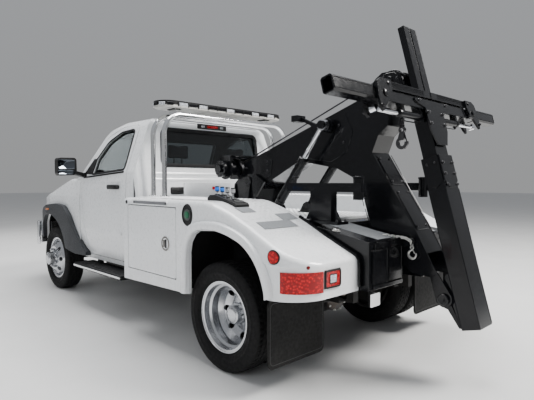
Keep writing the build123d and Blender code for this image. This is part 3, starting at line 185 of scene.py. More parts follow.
def region(m, tests):
    """1 where every test holds; a test is (coefficients of |x|, y, z, limit): a|x| + b y + c z < limit."""
    ax = m.math("ABSOLUTE", m.axis("X"))
    y, z = m.axis("Y"), m.axis("Z")
    res = None
    for a, b, c, lim in tests:
        e = m.math("ADD", m.math("MULTIPLY", ax, v=a), m.math("ADD", m.math("MULTIPLY", y, v=b), m.math("MULTIPLY", z, v=c)))
        t = m.math("LESS_THAN", e, v=lim)
        res = t if res is None else m.math("MULTIPLY", res, t)
    return res


# darkens the inside faces of the wheel houses, the lockers and the underside between the side boxes
def body_mask(m):
    low = region(m, [(1, 0, 0, 0.612), (0, 1, 0, R + 0.775), (0, -1, 0, -(R - 1.462)), (0, 0, 1, 1.072)])
    k = (0.855 - 1.205) / 0.86
    arch = region(m, [(1, 0, 0, 1.168), (1, 1, 0, R + 1.735), (-1, 0, 0, -0.618), (0, 1, 0, R + 0.775), (0, -1, 0, -(R - 0.50)), (0, 0, 1, 1.205), (0, -k, 1, 1.205 - k * (R - 0.05))])
    lock = region(m, [(1, 0, 0, 1.168), (-1, 0, 0, -0.618), (0, 1, 0, R - 0.499), (0, -1, 0, -(R - 1.335)), (0, 0, 1, 1.235)])
    return m.math("MAXIMUM", m.math("MAXIMUM", low, arch), lock), (0.010, 0.010, 0.011), 0.8


def wing_mask(m):
    k = (0.81 - 0.985) / (-0.61)
    return region(m, [(1, 0, 0, 0.985), (0, 0, 1, 1.13), (0, -1, 0, 4.40 - R), (1, -k, 0, 0.985 - k * (R - 3.72))]), (0.010, 0.010, 0.011), 0.8


def cab_mask(m):
    # inside the skin: between floor and roof, ahead of the back wall, behind the windscreen
    return region(m, [(1, 0, 0, 0.983), (1, 0, 0.37, 0.983 + 0.37 * 1.45), (0, 0, -1, -0.82), (0, 0, 1, 2.035), (0, 1, 0, R - 1.555), (0, 1, 0.081, R - 1.555 + 0.081 * 1.28),
                      (0, -1, 0.75, -(R - 2.775) + 0.75 * 1.48 - 0.03), (0, -0.33, 1, 1.908 - 0.33 * (R - 2.42)), (1, 0, 0.9, 2.53)]), (0.055, 0.056, 0.058), 0.75


def door_mask(m):
    return region(m, [(1, 0, 0, 0.975), (1, 0, -0.25, 0.785), (1, 0, 0.37, 0.978 + 0.37 * 1.45)]), (0.045, 0.046, 0.048), 0.75


WHITE = paint("white_paint", (0.80, 0.815, 0.83), (0.74, 0.755, 0.77), 0.22, 0.7, (0.36, 0.32, 0.27), 0.42)
PAINT_WHITE = ((0.80, 0.815, 0.83), (0.74, 0.755, 0.77), 0.22, 0.7, (0.36, 0.32, 0.27), 0.42)


def tray_mask(m):
    return region(m, [(0, 0, 1, 2.143)]), (0.36, 0.355, 0.335), 0.45


BAR_SHELL = paint("light_bar_shell", (0.006, 0.006, 0.0065), (0.009, 0.009, 0.0095), 0.30, 0.2, (0.03, 0.03, 0.03), 0.1, mask=tray_mask, spec=0.3)
WHITE_BODY = paint("white_paint_body", *PAINT_WHITE, mask=body_mask)
WHITE_WING = paint("white_paint_wings", *PAINT_WHITE, mask=wing_mask)
WHITE_CAB = paint("white_paint_cab", *PAINT_WHITE, mask=cab_mask)
WHITE_DOOR = paint("white_paint_doors", *PAINT_WHITE, mask=door_mask)
# the black paint's bluish dust colour, strongest on upward faces, is partly dust and partly painted sheen of the sky
BLACK = paint("black_gloss_paint", (0.003, 0.0032, 0.004), (0.005, 0.0053, 0.0065), 0.13, 0.12, (0.03, 0.036, 0.05), 0.12, spec=0.24)
CHASSIS = paint("chassis_black", (0.010, 0.010, 0.011), (0.018, 0.0175, 0.017), 0.55, 0.0, (0.05, 0.046, 0.040), 0.6, 1.1, spec=0.25)


def cast():
    m = Mat("cast_metal")
    m.link(m.mix(m.ramp(m.noise(9, 8, 0.7), 0.4, 0.7), (0.11, 0.11, 0.115), (0.17, 0.13, 0.095)), "Base Color")
    m.link(m.ramp(m.noise(22, 6), 0.3, 0.7, 0.45, 0.8), "Roughness")
    m.set(Metallic=0.75)
    m.bump(m.noise(160, 4), 0.35, 0.001)
    return m.m


def polished(name, base, lo, hi, brushed=None, grime=0.25, bump=0.02, inner=None):
    m = Mat(name)
    spots = m.ramp(m.noise(11, 7, 0.7), 0.52, 0.78, 0, grime)
    col = m.mix(spots, base, (base[0] * 0.45, base[1] * 0.44, base[2] * 0.42))
    rg = m.ramp(m.noise(60, 6, 0.7, brushed), 0.3, 0.75, lo, hi)
    m.set(Metallic=1.0)
    if inner:
        # the hidden inner rim is plain black steel
        f = m.math("LESS_THAN", m.math("ABSOLUTE", m.axis("X")), v=inner)
        col = m.mix(f, col, (0.012, 0.012, 0.012))
        rg = m.math("MAXIMUM", rg, m.math("MULTIPLY", f, v=0.6))
        m.link(m.ramp(f, 0.0, 1.0, 1.0, 0.0), "Metallic")
    m.link(col, "Base Color")
    m.link(rg, "Roughness")
    m.bump(m.noise(240, 3, 0.6, brushed), bump, 0.0006)
    return m.m


CHROME = polished("polished_wheel_metal", (0.78, 0.79, 0.81), 0.10, 0.18, grime=0.12, bump=0.004)
FRONT_RIM = polished("polished_front_wheel", (0.62, 0.63, 0.65), 0.18, 0.28, grime=0.12, bump=0.004, inner=0.80)
REAR_RIM = polished("polished_rear_wheel", (0.62, 0.63, 0.65), 0.18, 0.28, grime=0.12, bump=0.004, inner=0.885)
# the mirror glass's dark base colour is painted reflection: it stands for the dark surroundings the mirror shows
MIRROR = polished("mirror_silver", (0.13, 0.145, 0.165), 0.01, 0.04, grime=0.1, bump=0.0)
DARK_STEEL = polished("dark_forged_steel", (0.10, 0.10, 0.105), 0.3, 0.5, None, 0.4, 0.1)
TUBE = polished("polished_tube", (0.86, 0.87, 0.88), 0.07, 0.18, grime=0.12, bump=0.006)
BRUSHED = polished("brushed_steel", (0.52, 0.52, 0.54), 0.28, 0.5, (1, 1, 9), 0.4, 0.1)
ROD = polished("hard_chrome_rod", (0.86, 0.87, 0.9), 0.03, 0.12)
ZINC = polished("zinc_bolt", (0.62, 0.62, 0.6), 0.25, 0.5)
DIM_BOLT = polished("dark_bolt", (0.07, 0.07, 0.074), 0.4, 0.6)
NUTS = polished("wheel_nuts", (0.60, 0.61, 0.63), 0.2, 0.32, None, 0.2, 0.01)
BOWL = polished("latch_bowl", (0.17, 0.135, 0.105), 0.4, 0.55)
LATCH = polished("latch_ring", (0.22, 0.21, 0.195), 0.25, 0.4, (1, 1, 9), 0.3, 0.05)


def rubber(name, base, dusty, amount, bump):
    m = Mat(name)
    m.link(m.mix(m.ramp(m.noise(7, 8, 0.7), 0.35, 0.75, 0, amount), base, dusty), "Base Color")
    m.link(m.ramp(m.noise(40, 5), 0.3, 0.7, 0.62, 0.86), "Roughness")
    m.set(Specular_IOR_Level=0.22)
    m.bump(m.noise(420, 5), bump, 0.0008)
    return m.m


TYRE = rubber("tyre_rubber", (0.0045, 0.0045, 0.005), (0.018, 0.0175, 0.017), 0.4, 0.4)
FLAP = rubber("flap_rubber", (0.005, 0.005, 0.005), (0.018, 0.0175, 0.0165), 0.5, 0.3)
SEAL = rubber("seal_rubber", (0.009, 0.009, 0.01), (0.03, 0.03, 0.03), 0.4, 0.2)


def plastic(name, base, rough, grain=900, strength=0.35, dust=0.25):
    m = Mat(name)
    col = m.mix(m.ramp(m.noise(4, 6), 0.35, 0.75, 0, dust), base, tuple(min(1, c * 1.9 + 0.02) for c in base))
    m.link(col, "Base Color")
    m.link(m.ramp(m.noise(50, 4), 0.3, 0.7, rough, rough + 0.18), "Roughness")
    m.set(Specular_IOR_Level=0.3)
    m.bump(m.voronoi(grain), strength, 0.0006)
    return m.m


GREY_PLASTIC = plastic("flare_plastic", (0.028, 0.030, 0.034), 0.42)
FAINT = plastic("flap_line", (0.035, 0.035, 0.036), 0.6)
BLACK_PLASTIC = plastic("black_plastic", (0.006, 0.006, 0.0065), 0.38, dust=0.1)
INTERIOR = plastic("interior_plastic", (0.045, 0.045, 0.048), 0.55, 500)
HEADLINER = plastic("cabin_lining", (0.20, 0.20, 0.205), 0.8, 300, 0.5)
WHITE_GLOSS = plastic("white_plate_plastic", (0.72, 0.73, 0.74), 0.3, 600, 0.05, 0.08)


def glass(name, tint, rough=0.0):
    m = Mat(name)
    film = m.ramp(m.noise(6, 7, 0.7), 0.45, 0.8, 0, 0.10)
    m.link(m.mix(film, tint, (0.5, 0.5, 0.48)), "Base Color")
    m.link(m.ramp(m.noise(25, 5), 0.4, 0.8, rough, rough + 0.05), "Roughness")
    m.set(Transmission_Weight=1.0, IOR=1.46)
    return m.m


GLASS = glass("tinted_glass", (0.42, 0.47, 0.48))
DARK_GLASS = glass("privacy_glass", (0.26, 0.285, 0.30))


def lens(name, base, deep, pitch, glow=None, coat=1.0, spec=0.5):
    """Moulded lens: a fine grid of reflector cells behind a gloss face."""
    m = Mat(name)
    cells = m.voronoi(pitch, "F1")
    m.link(m.mix(m.ramp(cells, 0.15, 0.6), base, deep), "Base Color")
    m.link(m.ramp(m.noise(30, 4), 0.3, 0.7, 0.06, 0.16), "Roughness")
    m.set(Coat_Weight=coat, Coat_Roughness=0.03, Specular_IOR_Level=spec)
    m.bump(cells, 0.5, 0.002)
    if glow:
        m.link(m.mix(m.ramp(cells, 0.15, 0.6), glow, tuple(c * 0.35 for c in glow)), "Emission Color")
        m.set(Emission_Strength=0.30)
    return m.m


RED_LENS = lens("red_lens", (0.46, 0.0, 0.003), (0.16, 0.0, 0.001), 60, (0.9, 0.0, 0.008), 0.25, 0.25)
DEEP_RED = lens("deep_red_lens", (0.20, 0.0, 0.002), (0.09, 0.0, 0.001), 110, None, 0.25, 0.25)
AMBER_LENS = lens("amber_lens", (0.75, 0.24, 0.02), (0.45, 0.1, 0.01), 120)
CLEAR_LENS = lens("clear_lens", (0.74, 0.76, 0.78), (0.34, 0.36, 0.39), 70)
BLUE_KNOB = plastic("blue_knob", (0.02, 0.19, 0.75), 0.3, 500, 0.05, 0.1)


def fabric():
    m = Mat("seat_cloth")
    w1 = m.voronoi(520, "F1", (1, 0.6, 1))
    m.link(m.mix(m.ramp(m.noise(30, 8, 0.8), 0.3, 0.7), (0.055, 0.056, 0.06), (0.085, 0.086, 0.09)), "Base Color")
    m.link(m.ramp(w1, 0.0, 0.7, 0.95, 0.75), "Roughness")
    m.set(Sheen_Weight=0.4, Sheen_Roughness=0.4)
    m.bump(w1, 0.6, 0.001)
    return m.m


CLOTH = fabric()


def grip():
    m = Mat("grip_strip")
    g = m.noise(900, 3, 0.6)
    m.link(m.mix(m.ramp(g, 0.4, 0.62), (0.13, 0.14, 0.15), (0.24, 0.25, 0.26)), "Base Color")
    m.set(Roughness=0.95)
    m.link(m.ramp(m.noise(9, 5), 0.3, 0.7, 0.85, 0.98), "Roughness")
    m.bump(g, 0.8, 0.0012)
    return m.m


GRIP = grip()


# ------------------------------------------------------------------ mesh helpers
class Bag:
    """Collects geometry for one piece that rides on one body."""
    made = []

    def __init__(self, name, body, mat, slot=None, angle=38):
        self.name, self.body, self.mat, self.slot, self.angle = name, body, mat, slot, angle
        self.v, self.f = [], []
        Bag.made.append(self)

    def add(self, verts, faces):
        k = len(self.v)
        self.v += [tuple(p) for p in verts]
        self.f += [tuple(i + k for i in f) for f in faces]
        return self

    def both(self, fn, *a, **kw):
        """The same thing on the left and mirrored on the right."""
        k, j = len(self.v), len(self.f)
        fn(*a, **kw)
        vs, fs = self.v[k:], self.f[j:]
        n = len(self.v)
        self.v += [(-x, y, z) for x, y, z in vs]
        self.f += [tuple(reversed([i - k + n for i in f])) for f in fs]
        return self

    # --- primitives
    def box(self, c, size, bevel=0.003, m=None):
        hx, hy, hz = size[0] / 2, size[1] / 2, size[2] / 2
        b = min(bevel, hx * 0.45, hy * 0.45, hz * 0.45)
        vs, idx = [], {}
        for sx in (-1, 1):
            for sy in (-1, 1):
                for sz in (-1, 1):
                    for k, p in enumerate(((hx, hy - b, hz - b), (hx - b, hy, hz - b), (hx - b, hy - b, hz))):
                        idx[sx, sy, sz, k] = len(vs)
                        vs.append(Vector((p[0] * sx, p[1] * sy, p[2] * sz)))
        fs = []
        for k in range(3):
            for s in (-1, 1):
                ring = []
                for a, c2 in ((-1, -1), (1, -1), (1, 1), (-1, 1)):
                    key = [0, 0, 0]
                    key[k] = s
                    key[(k + 1) % 3] = a
                    key[(k + 2) % 3] = c2
                    ring.append(idx[key[0], key[1], key[2], k])
                fs.append(ring if s > 0 else ring[::-1])
        for k in range(3):
            i, j = (k + 1) % 3, (k + 2) % 3
            for a in (-1, 1):
                for c2 in (-1, 1):
                    key0, key1 = [0, 0, 0], [0, 0, 0]
                    key0[k], key1[k] = -1, 1
                    key0[i] = key1[i] = a
                    key0[j] = key1[j] = c2
                    q = [idx[(*key0, i)], idx[(*key1, i)], idx[(*key1, j)], idx[(*key0, j)]]
                    fs.append(q if a * c2 > 0 else q[::-1])
        for sx in (-1, 1):
            for sy in (-1, 1):
                for sz in (-1, 1):
                    t = [idx[sx, sy, sz, 0], idx[sx, sy, sz, 1], idx[sx, sy, sz, 2]]
                    fs.append(t if sx * sy * sz > 0 else t[::-1])
        mm = m or Matrix.Identity(4)
        return self.add([mm @ v + Vector(c) if m is None else (Matrix.Translation(c) @ m) @ v for v in vs], fs)

    def lathe(self, o, axis, profile, seg=24, close=False):
        """profile: (along the axis, radius) rows; radius 0 closes an end."""
        o, a = Vector(o), Vector(axis).normalized()
        u = a.orthogonal().normalized()
        w = a.cross(u)
        vs, fs, rows = [], [], []
        for t, r in profile:
            if r < 1e-7:
                rows.append([len(vs)])
                vs.append(o + a * t)
            else:
                rows.append(list(range(len(vs), len(vs) + seg)))
                for i in range(seg):
                    g = 2 * pi * i / seg
                    vs.append(o + a * t + (u * cos(g) + w * sin(g)) * r)
        pairs = list(zip(rows, rows[1:])) + ([(rows[-1], rows[0])] if close else [])
        for p, q in pairs:
            for i in range(seg):
                j = (i + 1) % seg
                if len(p) == 1 and len(q) == 1:
                    break
                if len(p) == 1:
                    fs.append((p[0], q[j], q[i]))
                elif len(q) == 1:
                    fs.append((p[i], p[j], q[0]))
                else:
                    fs.append((p[i], p[j], q[j], q[i]))
        return self.add(vs, fs)

    def cyl(self, p0, p1, r, seg=20, bevel=0.0015):
        p0, p1 = Vector(p0), Vector(p1)
        h = (p1 - p0).length
        b = min(bevel, r * 0.4, h * 0.4)
        return self.lathe(p0, p1 - p0, [(0, 0), (0, r - b), (b, r), (h - b, r), (h, r - b), (h, 0)], seg)

    def sweep(self, pts, r, seg=10, closed=False, flat=None):
        """Tube along points; flat=(width, height, up) gives a rounded bar instead."""
        pts = [Vector(p) for p in pts]
        n = len(pts)
        vs, fs = [], []
        up = None
        rows = []
        for i, p in enumerate(pts):
            if closed:
                d = (pts[(i + 1) % n] - pts[i - 1]).normalized()
            else:
                d = (pts[min(i + 1, n - 1)] - pts[max(i - 1, 0)]).normalized()
            if flat:
                u = Vector(flat[2])
                u = (u - d * u.dot(d)).normalized()
            elif up is None:
                u = d.orthogonal().normalized()
            else:
                u = (up - d * up.dot(d)).normalized()
            up = u
            w = d.cross(u)
            row = []
            for k in range(seg):
                g = 2 * pi * (k + 0.5) / seg
                if flat:
                    cx, cy = cos(g), sin(g)
                    e = 0.35
                    sx = (abs(cx) ** e) * (1 if cx > 0 else -1) * flat[0] / 2
                    sy = (abs(cy) ** e) * (1 if cy > 0 else -1) * flat[1] / 2
                    q = p + w * sx + u * sy
                else:
                    rr = r[i] if isinstance(r, (list, tuple)) else r
                    q = p + (u * cos(g) + w * sin(g)) * rr
                row.append(len(vs))
                vs.append(q)
            rows.append(row)
        m = n if closed else n - 1
        for i in range(m):
            a, b = rows[i], rows[(i + 1) % n]
            for k in range(seg):
                j = (k + 1) % seg
                fs.append((a[k], a[j], b[j], b[k]))
        if not closed:
            fs.append(tuple(reversed(rows[0])))
            fs.append(tuple(rows[-1]))
        return self.add(vs, fs)

    def plate(self, pts, o, u, w, t, bevel=0.002):
        """Flat plate: outline pts (a, b) in the plane (u, w) at o, thick t along u x w, with chamfered edges on the outer face."""
        o, u, w = Vector(o), Vector(u).normalized(), Vector(w).normalized()
        n = u.cross(w)
        area = sum(pts[i - 1][0] * pts[i][1] - pts[i][0] * pts[i - 1][1] for i in range(len(pts)))
        if area < 0:
            pts = pts[::-1]
        k = len(pts)

        def inset(d):
            res = []
            for i in range(k):
                p, c, q = Vector(pts[i - 1]), Vector(pts[i]), Vector(pts[(i + 1) % k])
                e0, e1 = (c - p).normalized(), (q - c).normalized()
                n0, n1 = Vector((-e0[1], e0[0])), Vector((-e1[1], e1[0]))
                mid = n0 + n1
                if mid.length < 1e-6:
                    res.append(c)
                    continue
                mid.normalize()
                res.append(c + mid * (d / max(0.35, mid.dot(n0))))
            return res

        rows = [(pts, 0.0), (pts, t - bevel), (inset(bevel), t)]
        vs, fs = [], []
        for ring, h in rows:
            vs += [o + u * a + w * b + n * h for a, b in ring]
        for r in range(2):
            for i in range(k):
                j = (i + 1) % k
                fs.append((r * k + i, r * k + j, r * k + k + j, r * k + k + i))
        fs.append(tuple(range(2 * k, 3 * k)))
        fs.append(tuple(reversed(range(k))))
        return self.add(vs, fs)

    def grid(self, rows, closed=False):
        """A sheet of quads through equal rows of points."""
        vs = [p for r in rows for p in r]
        c = len(rows[0])
        fs = []
        for i in range(len(rows) - 1 + (1 if closed else 0)):
            for j in range(c - 1):
                a = i * c + j
                b = ((i + 1) % len(rows)) * c + j
                fs.append((a, a + 1, b + 1, b))
        return self.add(vs, fs)

    def nut(self, p, axis, r, h, washer=True):
        """Hexagon nut on a washer, with its stud end."""
        p, a = Vector(p), Vector(axis).normalized()
        if washer:
            self.lathe(p, a, [(0, r * 1.25), (0.0015, r * 1.25), (0.002, r * 1.15), (0.002, 0)], 16)
        self.lathe(p + a * 0.002, a, [(0, r), (h * 0.8, r), (h, r * 0.82), (h, 0)], 6)
        self.lathe(p + a * h, a, [(0, r * 0.5), (h * 0.35, r * 0.5), (h * 0.45, r * 0.42), (h * 0.45, 0)], 10)
        return self


def build(bag):
    me = bpy.data.meshes.new(bag.name)
    me.from_pydata(bag.v, [], bag.f)
    me.materials.append(bag.mat)
    bm = bmesh.new()
    bm.from_mesh(me)
    bmesh.ops.recalc_face_normals(bm, faces=bm.faces)
    for f in bm.faces:
        f.smooth = True
    for e in bm.edges:
        if len(e.link_faces) == 2 and e.calc_face_angle(0) > radians(bag.angle):
            e.smooth = False
    bm.to_mesh(me)
    bm.free()
    me.validate()
    o = bpy.data.objects.new(bag.name, me)
    bpy.context.scene.collection.objects.link(o)
    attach(o, bag.body)
    return o


def arc(cx, cy, r, a0, a1, n):
    return [(cx + r * cos(radians(a0 + (a1 - a0) * i / n)), cy + r * sin(radians(a0 + (a1 - a0) * i / n))) for i in range(n + 1)]


def rounded_rect(x0, y0, x1, y1, r, n=5):
    pts = []
    for cx, cy, a in ((x1 - r, y0 + r, -90), (x1 - r, y1 - r, 0), (x0 + r, y1 - r, 90), (x0 + r, y0 + r, 180)):
        pts += arc(cx, cy, r, a, a + 90, n)
    return pts


def smooth_line(pts, k=6):
    """Catmull-Rom through points."""
    pts = [Vector(p) for p in pts]
    out = []
    for i in range(len(pts) - 1):
        p0, p1, p2, p3 = pts[max(i - 1, 0)], pts[i], pts[i + 1], pts[min(i + 2, len(pts) - 1)]
        for j in range(k):
            t = j / k
            out.append(0.5 * ((2 * p1) + (p2 - p0) * t + (2 * p0 - 5 * p1 + 4 * p2 - p3) * t * t + (3 * p1 - p0 - 3 * p2 + p3) * t ** 3))
    out.append(pts[-1])
    return out


# ------------------------------------------------------------------ CAD nodes: material and softened edges
CAD = {
    "white": (WHITE, ["bonnet", "toolbox_door_left", "toolbox_door_right"]),
    "white_body": (WHITE_BODY, ["recovery_body"]),
    "white_wings": (WHITE_WING, ["front_wings"]),
    "white_cab": (WHITE_CAB, ["cab_shell"]),
    "white_doors": (WHITE_DOOR, ["door_left", "door_right"]),
    "black": (BLACK, ["tail_frame", "boom_pedestal", "dolly_racks", "boom", "winch", "lift_cylinder_barrels", "stinger_tube", "crossbar", "claw_left", "claw_right"]),
    "chassis": (CHASSIS, ["chassis_frame", "front_axle", "rear_axle", "knuckle_left", "knuckle_right"]),
    "cast": (cast(), ["powertrain"]),
    "chrome": (CHROME, ["grille_and_headlamps", "front_bumper"]),
    "front_rim": (FRONT_RIM, ["front_wheel_left", "front_wheel_right"]),
    "rear_rim": (REAR_RIM, ["rear_wheels_left", "rear_wheels_right"]),
    "tube": (TUBE, ["headache_rack"]),
    "rod": (ROD, ["lift_cylinder_rods", "claw_rod_left", "claw_rod_right"]),
    "steel": (DARK_STEEL, ["winch_rope_and_hook"]),
    "flare": (GREY_PLASTIC, ["wheel_flares"]),
    "plastic": (BLACK_PLASTIC, ["mirror_and_handle_left", "mirror_and_handle_right", "running_boards", "valve_consoles"]),
    "bar": (BAR_SHELL, ["light_bar"]),
    "interior": (INTERIOR, ["dashboard"]),
    "lamp": (RED_LENS, ["tail_lamps"]),
    "flap": (FLAP, ["mud_flaps"]),
    "glass": (GLASS, ["windscreen", "door_glass_left", "door_glass_right"]),
    "dark": (DARK_GLASS, ["rear_window"]),
    "cloth": (CLOTH, ["bench_seat"]),
    "tyre": (TYRE, ["front_tyre_left", "front_tyre_right", "rear_tyres_left", "rear_tyres_right"]),
}
BEVEL = {"cab_shell": 0.006, "front_wings": 0.008, "bonnet": 0.008, "door_left": 0.005, "door_right": 0.005, "recovery_body": 0.009, "toolbox_door_left": 0.005, "toolbox_door_right": 0.005,
         "boom": 0.003, "crossbar": 0.003, "stinger_tube": 0.004, "claw_left": 0.003, "claw_right": 0.003, "tail_frame": 0.003, "boom_pedestal": 0.003, "dolly_racks": 0.004,
         "light_bar": 0.012, "front_bumper": 0.010, "wheel_flares": 0.012, "running_boards": 0.006, "mirror_and_handle_left": 0.012, "mirror_and_handle_right": 0.012,
         "tail_lamps": 0.003, "valve_consoles": 0.003, "dashboard": 0.02, "winch": 0.003, "grille_and_headlamps": 0.004, "mud_flaps": 0.002}
for mat, names in CAD.values():
    for n in names:
        o = N[n]
        o.data.materials.clear()
        o.data.materials.append(mat)
        if n in BEVEL:
            w = o.modifiers.new("weld", "WELD")
            w.merge_threshold = 0.00005
            b = o.modifiers.new("edges", "BEVEL")
            b.width = BEVEL[n]
            b.segments = 3
            b.limit_method = "ANGLE"
            b.angle_limit = radians(28)
            b.use_clamp_overlap = True
            b.harden_normals = False
            wn = o.modifiers.new("normals", "WEIGHTED_NORMAL")
            wn.keep_sharp = False
            for p in o.data.polygons:
                p.use_smooth = True

# ------------------------------------------------------------------ tyres
SIDE = [(0.075, 0.247), (0.080, 0.262), (0.090, 0.272), (0.100, 0.283), (0.1035, 0.286), (0.1065, 0.292), (0.109, 0.306), (0.1105, 0.318), (0.1125, 0.320), (0.1125, 0.334), (0.1105, 0.337),
        (0.110, 0.352), (0.108, 0.366), (0.104, 0.378), (0.1015, 0.384), (0.098, 0.3905), (0.091, 0.3975), (0.084, 0.4015)]
GROOVES = (0.030, 0.058)     # ribs: half width of the centre rib, then the next groove


def tyre(bag, cx, y, hand, blocks=60):
    """One tyre: ribbed sidewalls, four grooves round the tread and cross cuts in the shoulder and the middle ribs."""
    tread = [(0.084, 0.4015, 1), (0.066, 0.4035, 1), (0.0632, 0.4035, 1), (0.0618, 0.3925, 0), (0.0572, 0.3925, 0), (0.0558, 0.4042, 2), (0.036, 0.4048, 2), (0.0245, 0.4050, 2), (0.0231, 0.3935, 0),
             (0.0185, 0.3935, 0), (0.0171, 0.4050, 3), (0.0, 0.4050, 3)]
    half = [(a, r, 0) for a, r in SIDE[:-1]] + tread
    prof = half + [(-a, r, k) for a, r, k in reversed(half[:-1])]
    prof = prof + [(-0.070, 0.244, 0), (0.070, 0.244, 0)]
    seg = blocks * 4
    rows = []
    for i in range(seg):
        ph = i % 4
        row = []
        for a, r, k in prof:
            g = 2 * pi * i / seg
            if k == 1:
                if ph == 0:
                    r -= 0.009
            elif k == 2:
                if ph == 2:
                    r -= 0.0045
            elif k == 3:
                if ph == 1:
                    r -= 0.003
            row.append((cx + hand * a, y + r * sin(g), TYRE_R + r * cos(g)))
        rows.append(row)
    bag.grid(rows, closed=True)
    # close the inner side of each row's ends
    c = len(prof)
    base = len(bag.v) - c * seg
    for i in range(seg):
        a = base + i * c
        b = base + ((i + 1) % seg) * c
        bag.f.append((a + c - 1, a, b, b + c - 1))


for nm, cxs, y, body in (("front_tyre_left", (0.858,), F, "wheel_fl"), ("front_tyre_right", (-0.858,), F, "wheel_fr"),
                         ("rear_tyres_left", (1.037, 0.769), R, "wheels_rl"), ("rear_tyres_right", (-1.037, -0.769), R, "wheels_rr")):
    b = Bag(nm.replace("tyre", "treaded_tyre"), body, TYRE, "tyre", 50)
    for cx in cxs:
        tyre(b, cx, y, 1 if cx > 0 else -1)
    b.stands_for = nm

# ------------------------------------------------------------------ wheels: nuts, hub trim, valve stems
for side, hand in (("left", 1), ("right", -1)):
    X = Vector((hand, 0, 0))
    b = Bag("front_wheel_nuts_" + side, "wheel_fl" if hand > 0 else "wheel_fr", NUTS, "chrome_trim")
    face = Vector((hand * (0.858 + 0.132), F, TYRE_R))
    for k in range(8):
        g = 2 * pi * (k + 0.5) / 8
        p = face + Vector((0, cos(g), sin(g))) * 0.1125
        b.nut(p, X, 0.0155, 0.024)
    b.lathe(face + X * 0.085, X, [(-0.085, 0.062), (-0.01, 0.060), (0, 0.058), (0.004, 0.050), (0.006, 0.03), (0.004, 0.012), (0.004, 0)], 40)
    b.lathe(face, X, [(0, 0.092), (0.006, 0.091), (0.010, 0.086), (0.010, 0.076)], 40)
    b.cyl(face + Vector((-hand * 0.02, 0.150, 0.10)), face + Vector((hand * 0.03, 0.158, 0.106)), 0.004, 10)
    # rolled edges of the hand holes
    for k in range(8):
        g = 2 * pi * k / 8
        c = Vector((hand * (0.858 + 0.117), F, TYRE_R)) + Vector((0, cos(g), sin(g))) * 0.178
        tilt = (X * 0.87 - Vector((0, cos(g), sin(g))) * -0.49).normalized()
        b.lathe(c, tilt, [(-0.006, 0.0245), (0.002, 0.0262), (0.0035, 0.0280), (0.002, 0.0292), (-0.006, 0.0296)], 24)

    b = Bag("rear_wheel_nuts_" + side, "wheels_rl" if hand > 0 else "wheels_rr", NUTS, "chrome_trim")
    face = Vector((hand * 0.905, R, TYRE_R))
    for k in range(8):
        g = 2 * pi * (k + 0.5) / 8
        p = face + Vector((0, cos(g), sin(g))) * 0.1125
        b.nut(p, X, 0.0155, 0.026)
    b.lathe(face, X, [(0, 0.094), (0.006, 0.093), (0.010, 0.087), (0.010, 0.079)], 40)
    for k in range(8):
        g = 2 * pi * k / 8 + pi / 8
        p = Vector((hand * 1.011, R, TYRE_R)) + Vector((0, cos(g), sin(g))) * 0.067
        b.nut(p, X, 0.0065, 0.008, False)
    b.lathe(Vector((hand * 1.02, R, TYRE_R)), X, [(0.018, 0.056), (0.027, 0.052), (0.030, 0.045), (0.030, 0.02), (0.028, 0)], 32)
    b.cyl(Vector((hand * 0.92, R + 0.15, TYRE_R + 0.10)), Vector((hand * 1.05, R + 0.175, TYRE_R + 0.12)), 0.004, 10)

# brake drums and hubs seen through the hand holes are the axle's own

# ------------------------------------------------------------------ recovery body details
body_trim = Bag("body_flare_lips", "chassis", WHITE, "white_paint", 60)
ARCH_IN = [(-0.334, 0.535), (-0.334, 0.700), (-0.330, 0.850), (-0.306, 0.935), (-0.255, 0.998), (-0.185, 1.032), (-0.065, 1.044), (0.045, 1.042), (0.168, 1.020), (0.289, 0.982), (0.366, 0.937), (0.440, 0.868), (0.497, 0.777), (0.528, 0.690), (0.536, 0.642)]
ARCH_OUT = [(-0.400, 0.535), (-0.402, 0.700), (-0.400, 0.880), (-0.372, 0.985), (-0.300, 1.062), (-0.205, 1.096), (-0.065, 1.110), (0.060, 1.108), (0.190, 1.083), (0.318, 1.040), (0.408, 0.985), (0.486, 0.912), (0.548, 0.822), (0.585, 0.735), (0.590, 0.660)]


def arch_lip():
    a = smooth_line([(1.2, R + y, z) for y, z in ARCH_IN], 5)
    o = smooth_line([(1.2, R + y, z) for y, z in ARCH_OUT], 5)
    rows = []
    for p, q in zip(a, o):
        row = []
        for t, dx in ((0.0, -0.022), (0.0, -0.002), (0.0, 0.016), (0.04, 0.026), (0.12, 0.032), (0.5, 0.036), (0.80, 0.034), (0.91, 0.028), (0.965, 0.015), (0.985, 0.004), (1.0, 0.0), (1.0, -0.004)):
            m = p.lerp(q, t)
            row.append((1.2 + dx, m.y, m.z))
        rows.append(row)
    body_trim.grid(rows)


body_trim.both(arch_lip)


def lamp_ledge():
    line = [(1.2, 0.470, 0.905), (1.2, 0.530, 0.874)] + [(0.950 + 0.25 * cos(radians(g)), 0.560 + 0.25 * sin(radians(g)), 0.868 - 0.0001 * g) for g in (6, 18, 30, 42, 54)]
    rows = []
    for i, (x, y, z) in enumerate(line):
        out = Vector((x - 0.95, y - 0.56, 0)).normalized() if y > 0.56 else Vector((1, 0, 0))
        h = 0.013 * (1 - i / (len(line) - 1)) ** 0.7
        rows.append([Vector((x, R + y, z)) + out * (h * k) + Vector((0, 0, dz)) for k, dz in ((0.0, 0.020), (0.25, 0.012), (0.7, 0.005), (1.0, 0.0), (0.8, -0.005), (0.0, -0.008))])
    body_trim.grid(rows)


body_trim.both(lamp_ledge)


def rail_over_door():
    # raised rim of the long slot above the toolbox door
    body_trim.sweep([(1.2008, y, z) for y, z in rounded_rect(R - 1.178, 1.199, R - 0.621, 1.233, 0.0165, 6)], 0.0050, 8, True)


body_trim.both(rail_over_door)

